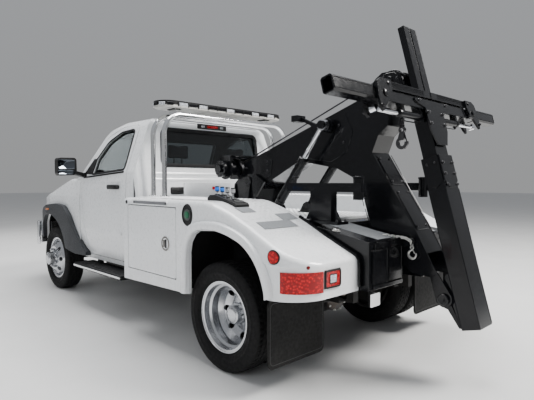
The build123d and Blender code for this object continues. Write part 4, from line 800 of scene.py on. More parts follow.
seal = Bag("body_seals", "chassis", SEAL, "rubber", 50)


def door_seal():
    pts = [(1.1675, y, z) for y, z in rounded_rect(R - 1.272, 0.620, R - 0.498, 1.187, 0.02)]
    seal.sweep(pts, 0.0045, 6, True)


seal.both(door_seal)

dark = Bag("body_black_fittings", "chassis", BLACK_PLASTIC, "black_plastic", 45)
# the slot's grey plate is painted shade: it stands for the shaded inside of the recess
slot_shade_plate = Bag("slot_painted_shade", "chassis", plastic("slot_shade_grey", (0.16, 0.165, 0.175), 0.42), "black_plastic", 40)
SLOT = (R - 1.176, R - 0.623, 1.2010, 1.2310)
PLUG = (R - 1.296, 1.212)


def fittings():
    # dish of the fuel filler: dark oval ring laid on the side
    c = Vector((1.2, R - 0.338, 1.140))
    n = 40
    for r0, r1, x0, x1 in ((1.0, 0.95, 0.0008, 0.006), (0.95, 0.86, 0.006, 0.005), (0.86, 0.84, 0.005, 0.0015), (0.84, 0.0, 0.0015, 0.0012)):
        rows = [[], []]
        for i in range(n + 1):
            g = 2 * pi * i / n
            rows[0].append((1.2 + x0, c.y + 0.070 * r0 * cos(g), c.z + 0.086 * r0 * sin(g)))
            rows[1].append((1.2 + x1, c.y + 0.070 * r1 * cos(g), c.z + 0.086 * r1 * sin(g)))
        dark.grid(rows)
    # dark slot above the toolbox door, its shaded inside painted as a flush grey plate, and a small round plug beside
    # it
    slot_shade_plate.plate(rounded_rect(SLOT[0], SLOT[2], SLOT[1], SLOT[3], (SLOT[3] - SLOT[2]) / 2 - 0.0005, 6), (1.2003, 0, 0), (0, 1, 0), (0, 0, 1), 0.0015, 0.0005)
    for y in (SLOT[0] + 0.020, SLOT[1] - 0.020):
        dark.lathe((1.2010, y, (SLOT[2] + SLOT[3]) / 2), (1, 0, 0), [(0, 0.0085), (0.003, 0.0080), (0.003, 0)], 16)
    dark.lathe((1.2003, PLUG[0], PLUG[1]), (1, 0, 0), [(0, 0.0175), (0.003, 0.0165), (0.003, 0)], 22)
    # tail lamp housings
    dark.box((0.880, R + 0.8125, 0.775), (0.162, 0.006, 0.120), 0.002)
    # bolt-on bracket for the number plate
    dark.box((0.555, R + 0.895, 0.600), (0.020, 0.05, 0.10), 0.003)


dark.both(fittings)

cap = Bag("filler_caps", "chassis", plastic("green_cap", (0.02, 0.12, 0.06), 0.35), "black_plastic")
cap.both(lambda: cap.lathe((1.202, R - 0.338, 1.140), (1, 0, 0), [(0, 0.027), (0.007, 0.027), (0.010, 0.023), (0.010, 0)], 28))
neck = Bag("filler_necks", "chassis", polished("filler_neck", (0.13, 0.14, 0.14), 0.35, 0.5), "brushed")
neck.both(lambda: neck.lathe((1.2012, R - 0.338, 1.140), (1, 0, 0), [(0, 0.044), (0.0035, 0.043), (0.0035, 0.028)], 30))

# toolbox door latches: dished chrome paddle in a round bezel
for side, hand in (("left", 1), ("right", -1)):
    b = Bag("toolbox_latch_" + side, "locker_l" if hand > 0 else "locker_r", LATCH, "chrome_trim")
    c = Vector((hand * 1.201, R - 0.640, 0.892))
    b.lathe(c, (hand, 0, 0), [(0.0, 0.060), (0.007, 0.060), (0.010, 0.057), (0.010, 0.047), (0.006, 0.044)], 40)
    b.box(c + Vector((hand * 0.010, -0.017, 0.0)), (0.007, 0.024, 0.058), 0.004)
    b3 = Bag("toolbox_latch_dish_" + side, b.body, BLACK_PLASTIC, "black_plastic")
    b3.box(c + Vector((hand * 0.0075, 0.010, 0.0)), (0.004, 0.021, 0.072), 0.0015)
    b4 = Bag("toolbox_latch_bowl_" + side, b.body, BOWL, "brushed")
    b4.lathe(c, (hand, 0, 0), [(0.0, 0.044), (0.0062, 0.044), (0.0035, 0.034), (0.0035, 0)], 36)
    b3.lathe(c + Vector((hand * 0.003, -0.026, 0)), (hand, 0, 0), [(0, 0.008), (0.006, 0.008), (0.007, 0.006), (0.007, 0)], 16)
    # piano hinge along the front edge
    b2 = Bag("toolbox_hinge_" + side, "locker_l" if hand > 0 else "locker_r", BRUSHED, "brushed")
    for k in range(14):
        z = 0.640 + k * 0.038
        b2.cyl((hand * 1.196, R - 1.2715, z), (hand * 1.196, R - 1.2715, z + 0.034), 0.0052, 10)

# red round markers and the tail lamps' bright parts
mark = Bag("red_markers", "chassis", DEEP_RED, "red_lens")
trim = Bag("lamp_trim", "chassis", BLACK_PLASTIC, "black_plastic")


def corner(z0, y):
    """Returns z0 as it is; y, the side distance, is not used."""
    return z0


clear = Bag("reverse_lamp_lenses", "chassis", CLEAR_LENS, "chrome_trim")


def square_lamp():
    # back-up and stop lamp: clear centre in the red square
    clear.box((0.880, R + 0.8195, 0.775), (0.062, 0.006, 0.050), 0.002)
    trim.sweep([(x, R + 0.8185, z) for x, z in rounded_rect(0.805, 0.721, 0.955, 0.829, 0.014, 4)], 0.0, 8, True, flat=(0.012, 0.008, (0, 1, 0)))
    trim.sweep([(x, R + 0.8185, z) for x, z in rounded_rect(0.846, 0.747, 0.914, 0.803, 0.006, 3)], 0.0, 8, True, flat=(0.006, 0.008, (0, 1, 0)))
    # rubber ring round the corner marker
    ring = []
    for i in range(28):
        g = 2 * pi * i / 28
        yy, zz = 0.594 + 0.043 * cos(g), 0.920 + 0.043 * sin(g)
        dx = max(0.0, (0.25 ** 2 - max(0.0, yy - 0.56) ** 2)) ** 0.5
        ring.append((0.950 + dx + 0.0015, R + yy, zz))
    trim.sweep(ring, 0.0055, 8, True)


def both_bags(bags, fn):
    """Like Bag.both for a function that adds to several pieces."""
    at = [(b, len(b.v), len(b.f)) for b in bags]
    fn()
    for b, k, j in at:
        vs, fs = b.v[k:], b.f[j:]
        n = len(b.v)
        b.v += [(-x, y, z) for x, y, z in vs]
        b.f += [tuple(reversed([i - k + n for i in f])) for f in fs]


both_bags([clear, trim], square_lamp)


def oval_mark():
    pts = rounded_rect(-0.020, -0.075, 0.020, 0.075, 0.0199, 6)
    mark.plate(pts, (0.5815, R + 0.800, 0.800), (0, 1, 0), (0, 0, 1), 0.008, 0.002)
    # small gem on the corner above the lamp
    g = radians(60)
    o = Vector((cos(g), sin(g), 0))
    mark.lathe(Vector((0.950, R + 0.560, 0.862)) + o * 0.249, o, [(0, 0.013), (0.003, 0.012), (0.005, 0.008), (0.006, 0)], 16)


mark.both(oval_mark)

# anti-slip strips and tread lozenges on the white deck
grips = Bag("grip_strips", "chassis", GRIP, None)


def top_z(y):
    """Height of the side box's top, y measured from the rear axle."""
    prof = [(-1.475, 1.25), (-0.20, 1.25), (-0.09, 1.243), (0.02, 1.222), (0.14, 1.182), (0.37, 1.0835), (0.56, 0.9905), (0.81, 0.880)]
    for (a, za), (b, zb) in zip(prof, prof[1:]):
        if a <= y <= b:
            return za + (zb - za) * (y - a) / (b - a)
    return prof[-1][1]


def strip(x0, x1, y0, y1, k=8):
    rows = []
    for i in range(k + 1):
        y = y0 + (y1 - y0) * i / k
        rows.append([(x0, R + y, top_z(y) + 0.0006), (x0 + 0.002, R + y, top_z(y) + 0.0028), (x1 - 0.002, R + y, top_z(y) + 0.0028), (x1, R + y, top_z(y) + 0.0006)])
    grips.grid(rows)


grips.both(strip, 0.635, 0.800, 0.205, 0.299)
grips.both(strip, 0.740, 1.075, 0.301, 0.394)
grips.both(strip, 0.940, 1.075, 0.070, 0.160)

tread = Bag("deck_tread", "chassis", WHITE, "white_paint", 30)


def lozenge(x, y, z, ang, l=0.0125, w=0.0042, h=0.0016, slope=0.0):
    c, s = cos(ang), sin(ang)
    pts = [(l, 0), (0, w), (-l, 0), (0, -w)]
    base = [(x + a * c - b * s, y + a * s + b * c) for a, b in pts]
    vs = [(px, py, z + (py - y) * slope) for px, py in base] + [(x + (px - x) * 0.45, y + (py - y) * 0.45, z + h + (py - y) * 0.45 * slope) for px, py in base]
    tread.add(vs, [(0, 1, 5, 4), (1, 2, 6, 5), (2, 3, 7, 6), (3, 0, 4, 7), (4, 5, 6, 7)])


for i in range(-21, 22):
    for j in range(58):
        x, y = i * 0.0272, -1.27 + j * 0.0272
        if abs(x) < 0.588 and y < 0.30 and not (0.10 < abs(x) < 0.23 and -1.10 < y < -0.64) and not (0.15 < abs(x) < 0.30 and -0.44 < y < -0.22):
            lozenge(x, R + y, 1.1002, radians(45 if (i + j) % 2 else -45))
for i in range(18):
    for j in range(74):
        x, y = 0.625 + i * 0.0272, -1.45 + j * 0.0272
        if x < 0.985 and y < 0.62 and not (0.90 < x < 1.07 and -0.29 < y < 0.17) and not (0.63 < x < 0.81 and 0.19 < y < 0.31) and not (0.89 < x < 1.03 and 0.29 < y < 0.49) and not (0.79 < x < 0.87 and (abs(y + 1.45) < 0.05 or abs(y + 1.25) < 0.05)):
            dz = (top_z(y + 0.01) - top_z(y - 0.01)) / 0.02
            for sx in (1, -1):
                lozenge(sx * x, R + y, top_z(y) + 0.0002, radians(45 if (i + j) % 2 else -45), slope=dz)

# black ribbed rail along each side box's inner rear edge
ridge = Bag("side_box_rails", "chassis", BLACK, "black_paint", 40)


def inner_rail():
    line = [(0.600, R + y, top_z(y) + 0.006) for y in (0.28, 0.36, 0.46, 0.56, 0.66, 0.74, 0.80)]
    pts = line + [(0.600, R + 0.822, 0.862), (0.600, R + 0.826, 0.80), (0.600, R + 0.826, 0.68)]
    ridge.sweep(pts, 0.0, 12, flat=(0.030, 0.016, (0, 0.5, 1)))
    for k in range(22):
        t = k / 21 * (len(line) - 1)
        i = min(int(t), len(line) - 2)
        p = Vector(line[i]).lerp(Vector(line[i + 1]), t - i)
        ridge.box(p + Vector((0, 0, 0.009)), (0.028, 0.008, 0.006), 0.002)
    for k in range(8):
        ridge.box((0.600, R + 0.835, 0.69 + k * 0.021), (0.028, 0.006, 0.008), 0.002)


ridge.both(inner_rail)

# mud flap border lines
line = Bag("mud_flap_borders", "chassis", FAINT, None)


def flap_border():
    pts = [(x, R + 0.5587, z) for x, z in rounded_rect(0.665, 0.210, 1.190, 0.612, 0.032, 4)]
    n = len(pts)
    for i in range(n):
        a, b2 = Vector(pts[i]), Vector(pts[(i + 1) % n])
        d = (b2 - a).normalized()
        w = Vector((-d.z, 0, d.x)) * 0.0022
        line.add([a - w, a + w, b2 + w, b2 - w], [(0, 1, 2, 3)])


line.both(flap_border)
flapfix = Bag("mud_flap_bolts", "chassis", DIM_BOLT, "brushed")


def flap_bolts():
    flapfix.box((0.925, R + 0.5605, 0.655), (0.43, 0.005, 0.030), 0.002)
    for k in range(5):
        flapfix.nut((0.745 + k * 0.09, R + 0.563, 0.655), (0, 1, 0), 0.0075, 0.007)


flapfix.both(flap_bolts)

plate = Bag("blank_number_plate", "chassis", WHITE_GLOSS, None)
plate.plate(rounded_rect(0.500, 0.555, 0.612, 0.641, 0.008), (0, R + 0.9205, 0), (1, 0, 0), (0, 0, 1), -0.003, 0.001)

# ------------------------------------------------------------------ valve consoles
con = Bag("console_levers", "chassis", CHROME, "brushed")
blue = Bag("console_blue_knobs", "chassis", BLUE_KNOB, None)
sil = Bag("console_silver_knobs", "chassis", BRUSHED, "brushed")
conbox = Bag("console_plates", "chassis", BLACK, "black_paint")
hand_table = ((-0.242, blue), (-0.178, blue), (-0.114, sil), (-0.050, sil))
for i, (y, bag) in enumerate(hand_table):
    kz = 1.322 - 0.004 * i
    top = 1.294 if y < -0.19 else 1.294 - (y + 0.19) * 0.2373

    def lever():
        bag.lathe((0.985, R + y, kz - 0.006), (0, 0, 1), [(0, 0.008), (0.003, 0.013), (0.009, 0.0165), (0.022, 0.0185), (0.034, 0.0165), (0.043, 0.010), (0.045, 0)], 24)
        conbox.lathe((0.985, R + y, top - 0.0005), (0, 0, 1), [(0, 0.022), (0.003, 0.021), (0.005, 0.016), (0.006, 0.009)], 20)
        con.cyl((0.985, R + y, top), (0.985, R + y, kz + 0.002), 0.0078, 14)

    both_bags([bag, con, conbox], lever)
conbox.both(lambda: conbox.box((0.985, R - 0.072, 1.2672), (0.085, 0.24, 0.004), 0.001, Matrix.Rotation(radians(-13.35), 4, "X")))


# ------------------------------------------------------------------ tail frame details
steel = Bag("tail_panels", "chassis", BLACK, "black_paint", 35)
tie = Bag("tie_down_plates", "chassis", ZINC, "brushed", 35)


def tail_detail():
    # flat pressed panels on the rear face of each box, a band along the top, a small latch
    steel.plate(rounded_rect(0.170, 0.690, 0.345, 0.925, 0.012, 3), (0, R + 0.8860, 0), (1, 0, 0), (0, 0, 1), -0.006, 0.002)
    steel.plate(rounded_rect(0.360, 0.690, 0.545, 0.925, 0.012, 3), (0, R + 0.8860, 0), (1, 0, 0), (0, 0, 1), -0.006, 0.002)
    steel.box((0.352, R + 0.889, 0.820), (0.030, 0.012, 0.060), 0.004)
    steel.box((0.340, R + 0.889, 0.955), (0.36, 0.012, 0.040), 0.004)
    steel.box((0.340, R + 0.889, 0.668), (0.38, 0.012, 0.030), 0.004)
    # diamond tie-down plate with its ring on the top face
    n = Vector((0, 0.169, 0.986)).normalized()
    c = Vector((0.552, R + 0.585, 1.0435))
    u, w = Vector((1, 0, 0)), Vector((0, 0.986, -0.169))
    tie.plate([(0.042, 0), (0, 0.042), (-0.042, 0), (0, -0.042)], c, u, w, 0.005, 0.002)
    ring = [c + n * 0.010 + u * (0.022 * cos(2 * pi * i / 24)) + w * (0.022 * sin(2 * pi * i / 24)) for i in range(24)]
    tie.sweep(ring, 0.0045, 8, True)
    # hinge barrels of the rear flap
    for x in (0.19, 0.34, 0.49):
        steel.cyl((x - 0.02, R + 0.893, 0.985), (x + 0.02, R + 0.893, 0.985), 0.009, 12)


both_bags([steel, tie], tail_detail)
tailgrip = Bag("tail_grip_pads", "chassis", GRIP, None)


def tail_pad():
    for x0, x1 in ((0.175, 0.43),):
        rows = []
        for y in (0.40, 0.60, 0.86):
            z = 1.082 + (0.985 - 1.082) * (y - 0.32) / 0.565
            rows.append([(x0, R + y, z + 0.0004), (x0 + 0.002, R + y, z + 0.0025), (x1 - 0.002, R + y, z + 0.0025), (x1, R + y, z + 0.0004)])
        tailgrip.grid(rows)


tailgrip.both(tail_pad)

# chain and hook hung on the tail's rear face
chain = Bag("safety_chain", "chassis", ZINC, "brushed", 60)


def link_loop(c, d, side, l=0.017, w=0.0095, r=0.0038):
    d, side = Vector(d).normalized(), Vector(side)
    side = (side - d * side.dot(d)).normalized()
    pts = []
    for i in range(16):
        g = 2 * pi * i / 16
        pts.append(Vector(c) + d * ((l - w) * (1 if cos(g) > 0 else -1) + w * cos(g)) + side * (w * sin(g)))
    chain.sweep(pts, r, 8, True)


# tab on the inner cheek, the strand lying over the box, and a forged grab hook hanging from the tab
tab = Bag("chain_tab", "chassis", BLACK, "black_paint", 35)
tab.plate([(0.872, 0.985), (0.872, 0.915), (0.945, 0.930), (0.978, 0.950), (0.984, 0.968), (0.976, 0.985)], (0.146, R, 0), (0, 1, 0), (0, 0, 1), 0.010, 0.002)
path = smooth_line([(0.262, R + 0.800, 1.007), (0.235, R + 0.850, 0.999), (0.200, R + 0.888, 0.992), (0.176, R + 0.925, 0.986), (0.163, R + 0.955, 0.968)], 3)
for i, p in enumerate(path[:-1]):
    q = path[i + 1]
    link_loop(p.lerp(q, 0.5), (q - p), (0, 0, 1) if i % 2 else (1, 0, 0), 0.0140, 0.0080, 0.0032)
chain.cyl((0.138, R + 0.962, 0.966), (0.166, R + 0.962, 0.966), 0.0065, 12)
for k in range(2):
    link_loop((0.148 if k else 0.163, R + 0.963, 0.953 - 0.019 * k), (0, 0, 1), (0, 1, 0) if k else (1, 0, 0), 0.0130, 0.0078, 0.0032)
eye = [Vector((0.1475, R + 0.963 + 0.012 * cos(2 * pi * i / 20), 0.917 + 0.012 * sin(2 * pi * i / 20))) for i in range(20)]
chain.sweep(eye, 0.0050, 8, True)
hk = [(0.1475, R + 0.963, 0.904)] + [(0.1475, R + 0.966 + 0.030 * cos(radians(g)), 0.868 + 0.030 * sin(radians(g))) for g in range(110, 381, 15)]
hk = smooth_line(hk, 3)
chain.sweep(hk, [0.0055 + 0.0050 * sin(pi * min(1.0, 1.15 * i / (len(hk) - 1))) for i in range(len(hk))], 10)
chain.box((0.1475, R + 0.976, 0.890), (0.006, 0.008, 0.034), 0.002, Matrix.Rotation(radians(35), 4, "X"))

# ------------------------------------------------------------------ boom and winch details
bd = Bag("boom_details", "boom_arm", BLACK, "black_paint", 35)
bz = Bag("boom_bolts", "boom_arm", DIM_BOLT, "brushed")


def Y(y):
    return R + y


def boom_side():
    # doubler plates, weld beads and pin caps on the side face
    bd.plate([(-0.90, 1.36), (-0.90, 1.55), (-0.64, 1.625), (-0.50, 1.60), (-0.52, 1.46), (-0.70, 1.36)], (0.120, R, 0), (0, 1, 0), (0, 0, 1), 0.008, 0.003)
    bd.plate([(-0.09, 1.60), (-0.12, 1.80), (0.34, 1.955), (0.42, 1.80), (0.36, 1.63), (0.20, 1.56)], (0.120, R, 0), (0, 1, 0), (0, 0, 1), 0.006, 0.003)
    bd.plate([(0.66, 2.055), (0.66, 2.185), (0.72, 2.212), (0.79, 2.212), (0.824, 2.180), (0.838, 2.13), (0.836, 2.075), (0.76, 1.985)], (0.120, R, 0), (0, 1, 0), (0, 0, 1), 0.007, 0.003)
    for c, r in (((0, Y(-0.8), 1.4), 0.045), ((0, Y(0.745), 2.150), 0.036), ((0, Y(1.195), 0.575), 0.040)):
        base = 0.1725 if r == 0.045 else 0.127 if r == 0.036 else 0.134
        if r == 0.045:
            continue
        bd.lathe((base, c[1], c[2]), (1, 0, 0), [(-0.012, r), (0.004, r), (0.008, r * 0.9), (0.008, r * 0.3), (0.006, 0)], 28)
    # weld beads along the long edges
    for a, b2 in (((-0.88, 1.583), (0.44, 2.027)), ((0.62, 1.610), (0.985, 1.022)), ((0.985, 1.022), (1.10, 0.815)), ((0.62, 0.965), (0.54, 1.18)), ((0.53, 1.20), (0.475, 1.385))):
        p, q = Vector((0.1205, Y(a[0]), a[1])), Vector((0.1205, Y(b2[0]), b2[1]))
        k = max(6, int((q - p).length / 0.012))
        bd.sweep([p.lerp(q, i / k) for i in range(k + 1)], [0.0028 + 0.0010 * (i % 2) for i in range(k + 1)], 6)


bd.both(boom_side)


def boom_vents():
    # louvred cover and bolt rows on the side of the boom's front part
    for k in range(4):
        bd.box((0.1290, Y(-0.60 + 0.022 * (k % 1)), 1.50 + k * 0.026), (0.006, 0.09, 0.010), 0.002, Matrix.Rotation(radians(18), 4, "X"))
    for y, z in ((-0.86, 1.40), (-0.86, 1.53), (-0.56, 1.50), (-0.56, 1.585), (-0.74, 1.39)):
        bz.nut((0.128, Y(y), z), (1, 0, 0), 0.009, 0.008)
    for y, z in ((0.70, 2.185), (0.812, 2.165), (0.815, 2.10), (0.70, 2.06), (0.74, 2.02)):
        bz.nut((0.127, Y(y), z), (1, 0, 0), 0.008, 0.007)
    for y, z in ((-0.06, 1.64), (0.00, 1.77), (0.28, 1.86), (0.33, 1.72)):
        bz.nut((0.126, Y(y), z), (1, 0, 0), 0.008, 0.007)


bd.both(boom_vents)


def bolts_only():
    pass


# two smooth cover plates along the leg's rear face
leg = (Vector((0, 0.990 - 0.600, 1.010 - 1.622))).normalized()
nrm = Vector((0, -leg.z, leg.y))
for t0, t1 in ((0.03, 0.30), (0.34, 0.69)):
    c = Vector((0, Y(0.600), 1.622)) + nrm * 0.0005
    bd.plate(rounded_rect(-0.088, t0, 0.088, t1, 0.010, 3), c, (1, 0, 0), leg, 0.005 if nrm.y > 0 else -0.005, 0.002)
for t in (0.06, 0.27, 0.37, 0.66):
    for x in (-0.070, 0.070):
        bz.nut(Vector((x, Y(0.600), 1.622)) + leg * t + nrm * 0.006, nrm, 0.008, 0.006)
for z, y in ((2.045, 0.800), (2.02, 0.775)):
    bd.cyl((-0.080, Y(y), z), (-0.042, Y(y), z), 0.014, 20)
    bd.cyl((0.042, Y(y), z), (0.080, Y(y), z), 0.014, 20)
# guard loop over the head
bd.sweep(smooth_line([(0.060, Y(0.640), 2.195), (0.060, Y(0.700), 2.232), (0.060, Y(0.770), 2.236), (0.060, Y(0.815), 2.205)], 4), 0.007, 8)
bd.sweep(smooth_line([(-0.060, Y(0.640), 2.195), (-0.060, Y(0.700), 2.232), (-0.060, Y(0.770), 2.236), (-0.060, Y(0.815), 2.205)], 4), 0.007, 8)
# work lamp on its arm
bd.lathe((0.150, Y(-0.186), 1.948), (0, -1, 0), [(-0.0, 0.020), (0.006, 0.026), (0.018, 0.027), (0.022, 0.025)], 24)
wl = Bag("work_lamp_lens", "boom_arm", CLEAR_LENS, "chrome_trim")
wl.lathe((0.150, Y(-0.186), 1.948), (0, -1, 0), [(0.019, 0.0245), (0.022, 0.022), (0.024, 0.0)], 24)

# winch: rope layers on the drum, motor and gearbox bolts
rope = Bag("winch_rope_turns", "boom_arm", DARK_STEEL, "brushed", 60)
for k in range(18):
    x = -0.112 + k * 0.0132
    pts = [(x + 0.0132 * i / 20, Y(-1.045) + 0.068 * sin(2 * pi * i / 20), 1.525 + 0.068 * cos(2 * pi * i / 20)) for i in range(20)]
    rope.sweep(pts, 0.0064, 6, True)
wd = Bag("winch_details", "boom_arm", BLACK, "black_paint", 35)
for x, hand in ((-0.250, -1), (0.320, 1)):
    r = 0.105 if hand < 0 else 0.082
    for k in range(8):
        g = 2 * pi * k / 8
        bz.nut((x, Y(-1.045) + r * 0.78 * cos(g), 1.525 + r * 0.78 * sin(g)), (hand, 0, 0), 0.008, 0.008)
wd.cyl((0.320, Y(-1.045), 1.525), (0.345, Y(-1.045), 1.525), 0.040, 28, 0.004)
wd.box((-0.275, Y(-1.045), 1.535), (0.05, 0.10, 0.09), 0.010)
for x in (-0.244, -0.124, 0.124, 0.244):
    wd.lathe((x, Y(-1.045), 1.525), (1, 0, 0), [(-0.008, 0.100), (-0.008, 0.107), (0.008, 0.107), (0.008, 0.100)], 40)
# cross guard above the drums
wd.sweep([(-0.245, Y(-0.955), 1.600), (-0.245, Y(-0.975), 1.642), (0.245, Y(-0.975), 1.642), (0.245, Y(-0.955), 1.600)], 0.0, 12, flat=(0.05, 0.012, (0, 0.3, 1)))
for x in (-0.245, 0.245):
    wd.box((x, Y(-0.975), 1.560), (0.012, 0.05, 0.17), 0.003)
# sheet-metal housing over the drums, open ahead and below
for x in (-0.262, 0.262):
    hx = 0.006 if x > 0 else -0.006
    wd.plate([(-1.150, 1.440), (-1.150, 1.600), (-1.085, 1.655), (-0.945, 1.655), (-0.945, 1.600), (-0.930, 1.560), (-0.930, 1.440)], (x, R, 0), (0, 1, 0), (0, 0, 1), hx, 0.002)
wd.box((0, Y(-1.015), 1.6575), (0.524, 0.135, 0.005), 0.002)
wd.box((0, Y(-1.118), 1.6275), (0.524, 0.084, 0.005), 0.002, Matrix.Rotation(radians(40), 4, "X"))
# laid strands on the rope over the boom
p, q = Vector((0, Y(-1.045), 1.595)), Vector((0, Y(0.660), 2.236))
d = (q - p).normalized()
u = d.orthogonal().normalized()
w = d.cross(u)
L = (q - p).length
for s in range(6):
    n = 150
    rope.sweep([p + d * (L * i / n) + (u * cos(L * i / n * 60 + s * pi / 3) + w * sin(L * i / n * 60 + s * pi / 3)) * 0.0045 for i in range(n + 1)], 0.0028, 5)
# hook details: swivel, latch
hd = Bag("hook_details", "boom_arm", DIM_BOLT, "brushed")
hd.lathe((0, Y(0.790), 1.812), (0, 0, 1), [(0, 0.0125), (0.004, 0.0175), (0.016, 0.0175), (0.020, 0.0135), (0.054, 0.0135), (0.060, 0.0125), (0.070, 0.008), (0.070, 0)], 20)
hd.box((0, Y(0.822), 1.722), (0.012, 0.005, 0.062), 0.002, Matrix.Rotation(radians(18), 4, "X"))
hd.cyl((-0.014, Y(0.803), 1.748), (0.014, Y(0.803), 1.748), 0.005, 12)

# pedestal pin caps, cylinder glands
pd = Bag("pedestal_details", "chassis", BLACK, "black_paint", 35)
pz = Bag("pedestal_bolts", "chassis", DIM_BOLT, "brushed")


def ped():
    pd.lathe((0.160, Y(-0.8), 1.4), (1, 0, 0), [(0, 0.050), (0.010, 0.050), (0.014, 0.046), (0.014, 0)], 32)
    for k in range(4):
        g = 2 * pi * (k + 0.5) / 4
        pz.nut((0.174, Y(-0.8) + 0.034 * cos(g), 1.4 + 0.034 * sin(g)), (1, 0, 0), 0.006, 0.006)
    # stiffener ribs and base bolts
    for y in (-0.98, -0.76):
        pd.plate([(0, 0), (0.055, 0), (0.012, 0.26), (0, 0.26)], (0.160, Y(y), 1.114), (1, 0, 0), (0, 0, 1), 0.010, 0.002)
    for y in (-1.05, -0.87, -0.69):
        pz.nut((0.200, Y(y), 1.114), (0, 0, 1), 0.011, 0.012)
    for y in (-0.415, -0.245):
        for x in (0.188, 0.272):
            pz.nut((x, Y(y), 1.110), (0, 0, 1), 0.009, 0.010)


pd.both(ped)
pz_v = list(pz.v)
pz.f += [tuple(reversed([i + len(pz_v) for i in f])) for f in pz.f]
pz.v += [(-x, y, z) for x, y, z in pz_v]

lb, le = Vector((0, R - 0.330, 1.165)), Vector((0, R + 0.200, 1.860))
ld = (le - lb).normalized()
cy = Bag("lift_cylinder_glands", "cylinder_barrels", BLACK, "black_paint")


def gland():
    c = lb + Vector((0.230, 0, 0))
    cy.lathe(c + ld * 0.500, ld, [(0, 0.0405), (0.002, 0.046), (0.034, 0.046), (0.040, 0.041), (0.044, 0.030), (0.044, 0.0225)], 32)
    cy.lathe(c + ld * 0.060, ld, [(0, 0.0405), (0.002, 0.044), (0.020, 0.044), (0.022, 0.0405)], 32)
    # pressure ports and the hard line between them
    cy.cyl(c + ld * 0.46 + Vector((0.030, 0, 0)), c + ld * 0.46 + Vector((0.060, 0, 0)), 0.011, 14)
    cy.cyl(c + ld * 0.10 + Vector((0.030, 0, 0)), c + ld * 0.10 + Vector((0.060, 0, 0)), 0.011, 14)
    cy.sweep(smooth_line([c + ld * 0.46 + Vector((0.056, 0, 0)), c + ld * 0.40 + Vector((0.060, 0, 0)), c + ld * 0.16 + Vector((0.060, 0, 0)), c + ld * 0.10 + Vector((0.056, 0, 0))], 5), 0.005, 8)


cy.both(gland)

# ------------------------------------------------------------------ stinger and crossbar details
st = Bag("stinger_details", "stinger", BLACK, "black_paint", 35)
sz = Bag("stinger_bolts", "stinger", DIM_BOLT, "brushed")
for sgn in (1, -1):
    for a, b2 in (((0.100 * sgn, 0.01, 0.0), (0.100 * sgn, 0.97, 0.0)), ((0.100 * sgn, 0.02, -0.130), (0.100 * sgn, 1.20, -0.130))):
        p, q = tp(*a), tp(*b2)
        k = int((q - p).length / 0.014)
        st.sweep([p.lerp(q, i / k) for i in range(k + 1)], [0.0022 + 0.0009 * (i % 2) for i in range(k + 1)], 6)
    for s in (1.00, 1.08, 1.16):
        sz.nut(tp(0.072 * sgn, s, 0.009), TN, 0.010, 0.009)
    for s, n in ((1.17, -0.035), (1.17, -0.095)):
        sz.nut(tp(0.100 * sgn, s, n), (sgn, 0, 0), 0.009, 0.008)
    st.plate([(s, n) for s, n in ((1.03, -0.128), (1.218, -0.128), (1.218, -0.002), (1.03, -0.002), (0.99, -0.065))], tp(0.100 * sgn, 0, 0), TS, TN, 0.006 if sgn < 0 else -0.006, 0.002)
    # heel cheek and pin boss
    c = Vector((0.094 * sgn, R + 1.195, 0.575))
    st.lathe(c, (sgn, 0, 0), [(0, 0.040), (0.006, 0.040), (0.009, 0.036), (0.009, 0.026)], 28)

cb = Bag("crossbar_details", "t_bar", BLACK, "black_paint", 35)
cz = Bag("crossbar_bolts", "t_bar", DIM_BOLT, "brushed")
for sgn in (1, -1):
    cz.nut(tp(0.105 * sgn, 1.447, 0.010), TN, 0.012, 0.011)
    cz.nut(tp(0.105 * sgn, 1.530, 0.010), TN, 0.012, 0.011)
    cz.nut(tp(0.200 * sgn, 1.611, 0.010), TN, 0.009, 0.009)
    # gusset where the arm's box meets the bar, collar plate, and the arm's end plate
    cb.plate([(0.700 * sgn, 1.556), (0.748 * sgn, 1.556), (0.748 * sgn, 1.652), (0.742 * sgn, 1.652)], tp(0, 0, 0.0), (1, 0, 0), TS, 0.004, 0.001)
    for n in (0.0012, -0.0862):
        cb.sweep([tp(x * sgn, s, n) for x, s in ((0.752, 1.572), (1.156, 1.572), (1.156, 1.636), (0.752, 1.636))], 0.0020, 6, True)
    for s in (1.556, 1.630):
        p, q = tp(0.14 * sgn, s, 0.0), tp(0.55 * sgn, s, 0.0)
        cb.sweep([p.lerp(q, i / 20) for i in range(21)], [0.002 + 0.001 * (i % 2) for i in range(21)], 6)
    # claw cylinder gland and hose port
    g = tp(0.440 * sgn, 1.505, -0.043)
    cb.lathe(g, (sgn, 0, 0), [(-0.03, 0.0272), (-0.028, 0.031), (-0.004, 0.031), (0.004, 0.026), (0.008, 0.016)], 28)
    cb.cyl(tp(0.17 * sgn, 1.478, -0.043), tp(0.17 * sgn, 1.462, -0.043), 0.010, 12)
    cb.cyl(tp(0.40 * sgn, 1.478, -0.043), tp(0.40 * sgn, 1.462, -0.043), 0.010, 12)
    cb.sweep(smooth_line([tp(0.17 * sgn, 1.464, -0.043), tp(0.20 * sgn, 1.458, -0.043), tp(0.37 * sgn, 1.458, -0.043), tp(0.40 * sgn, 1.464, -0.043)], 5), 0.0045, 8)

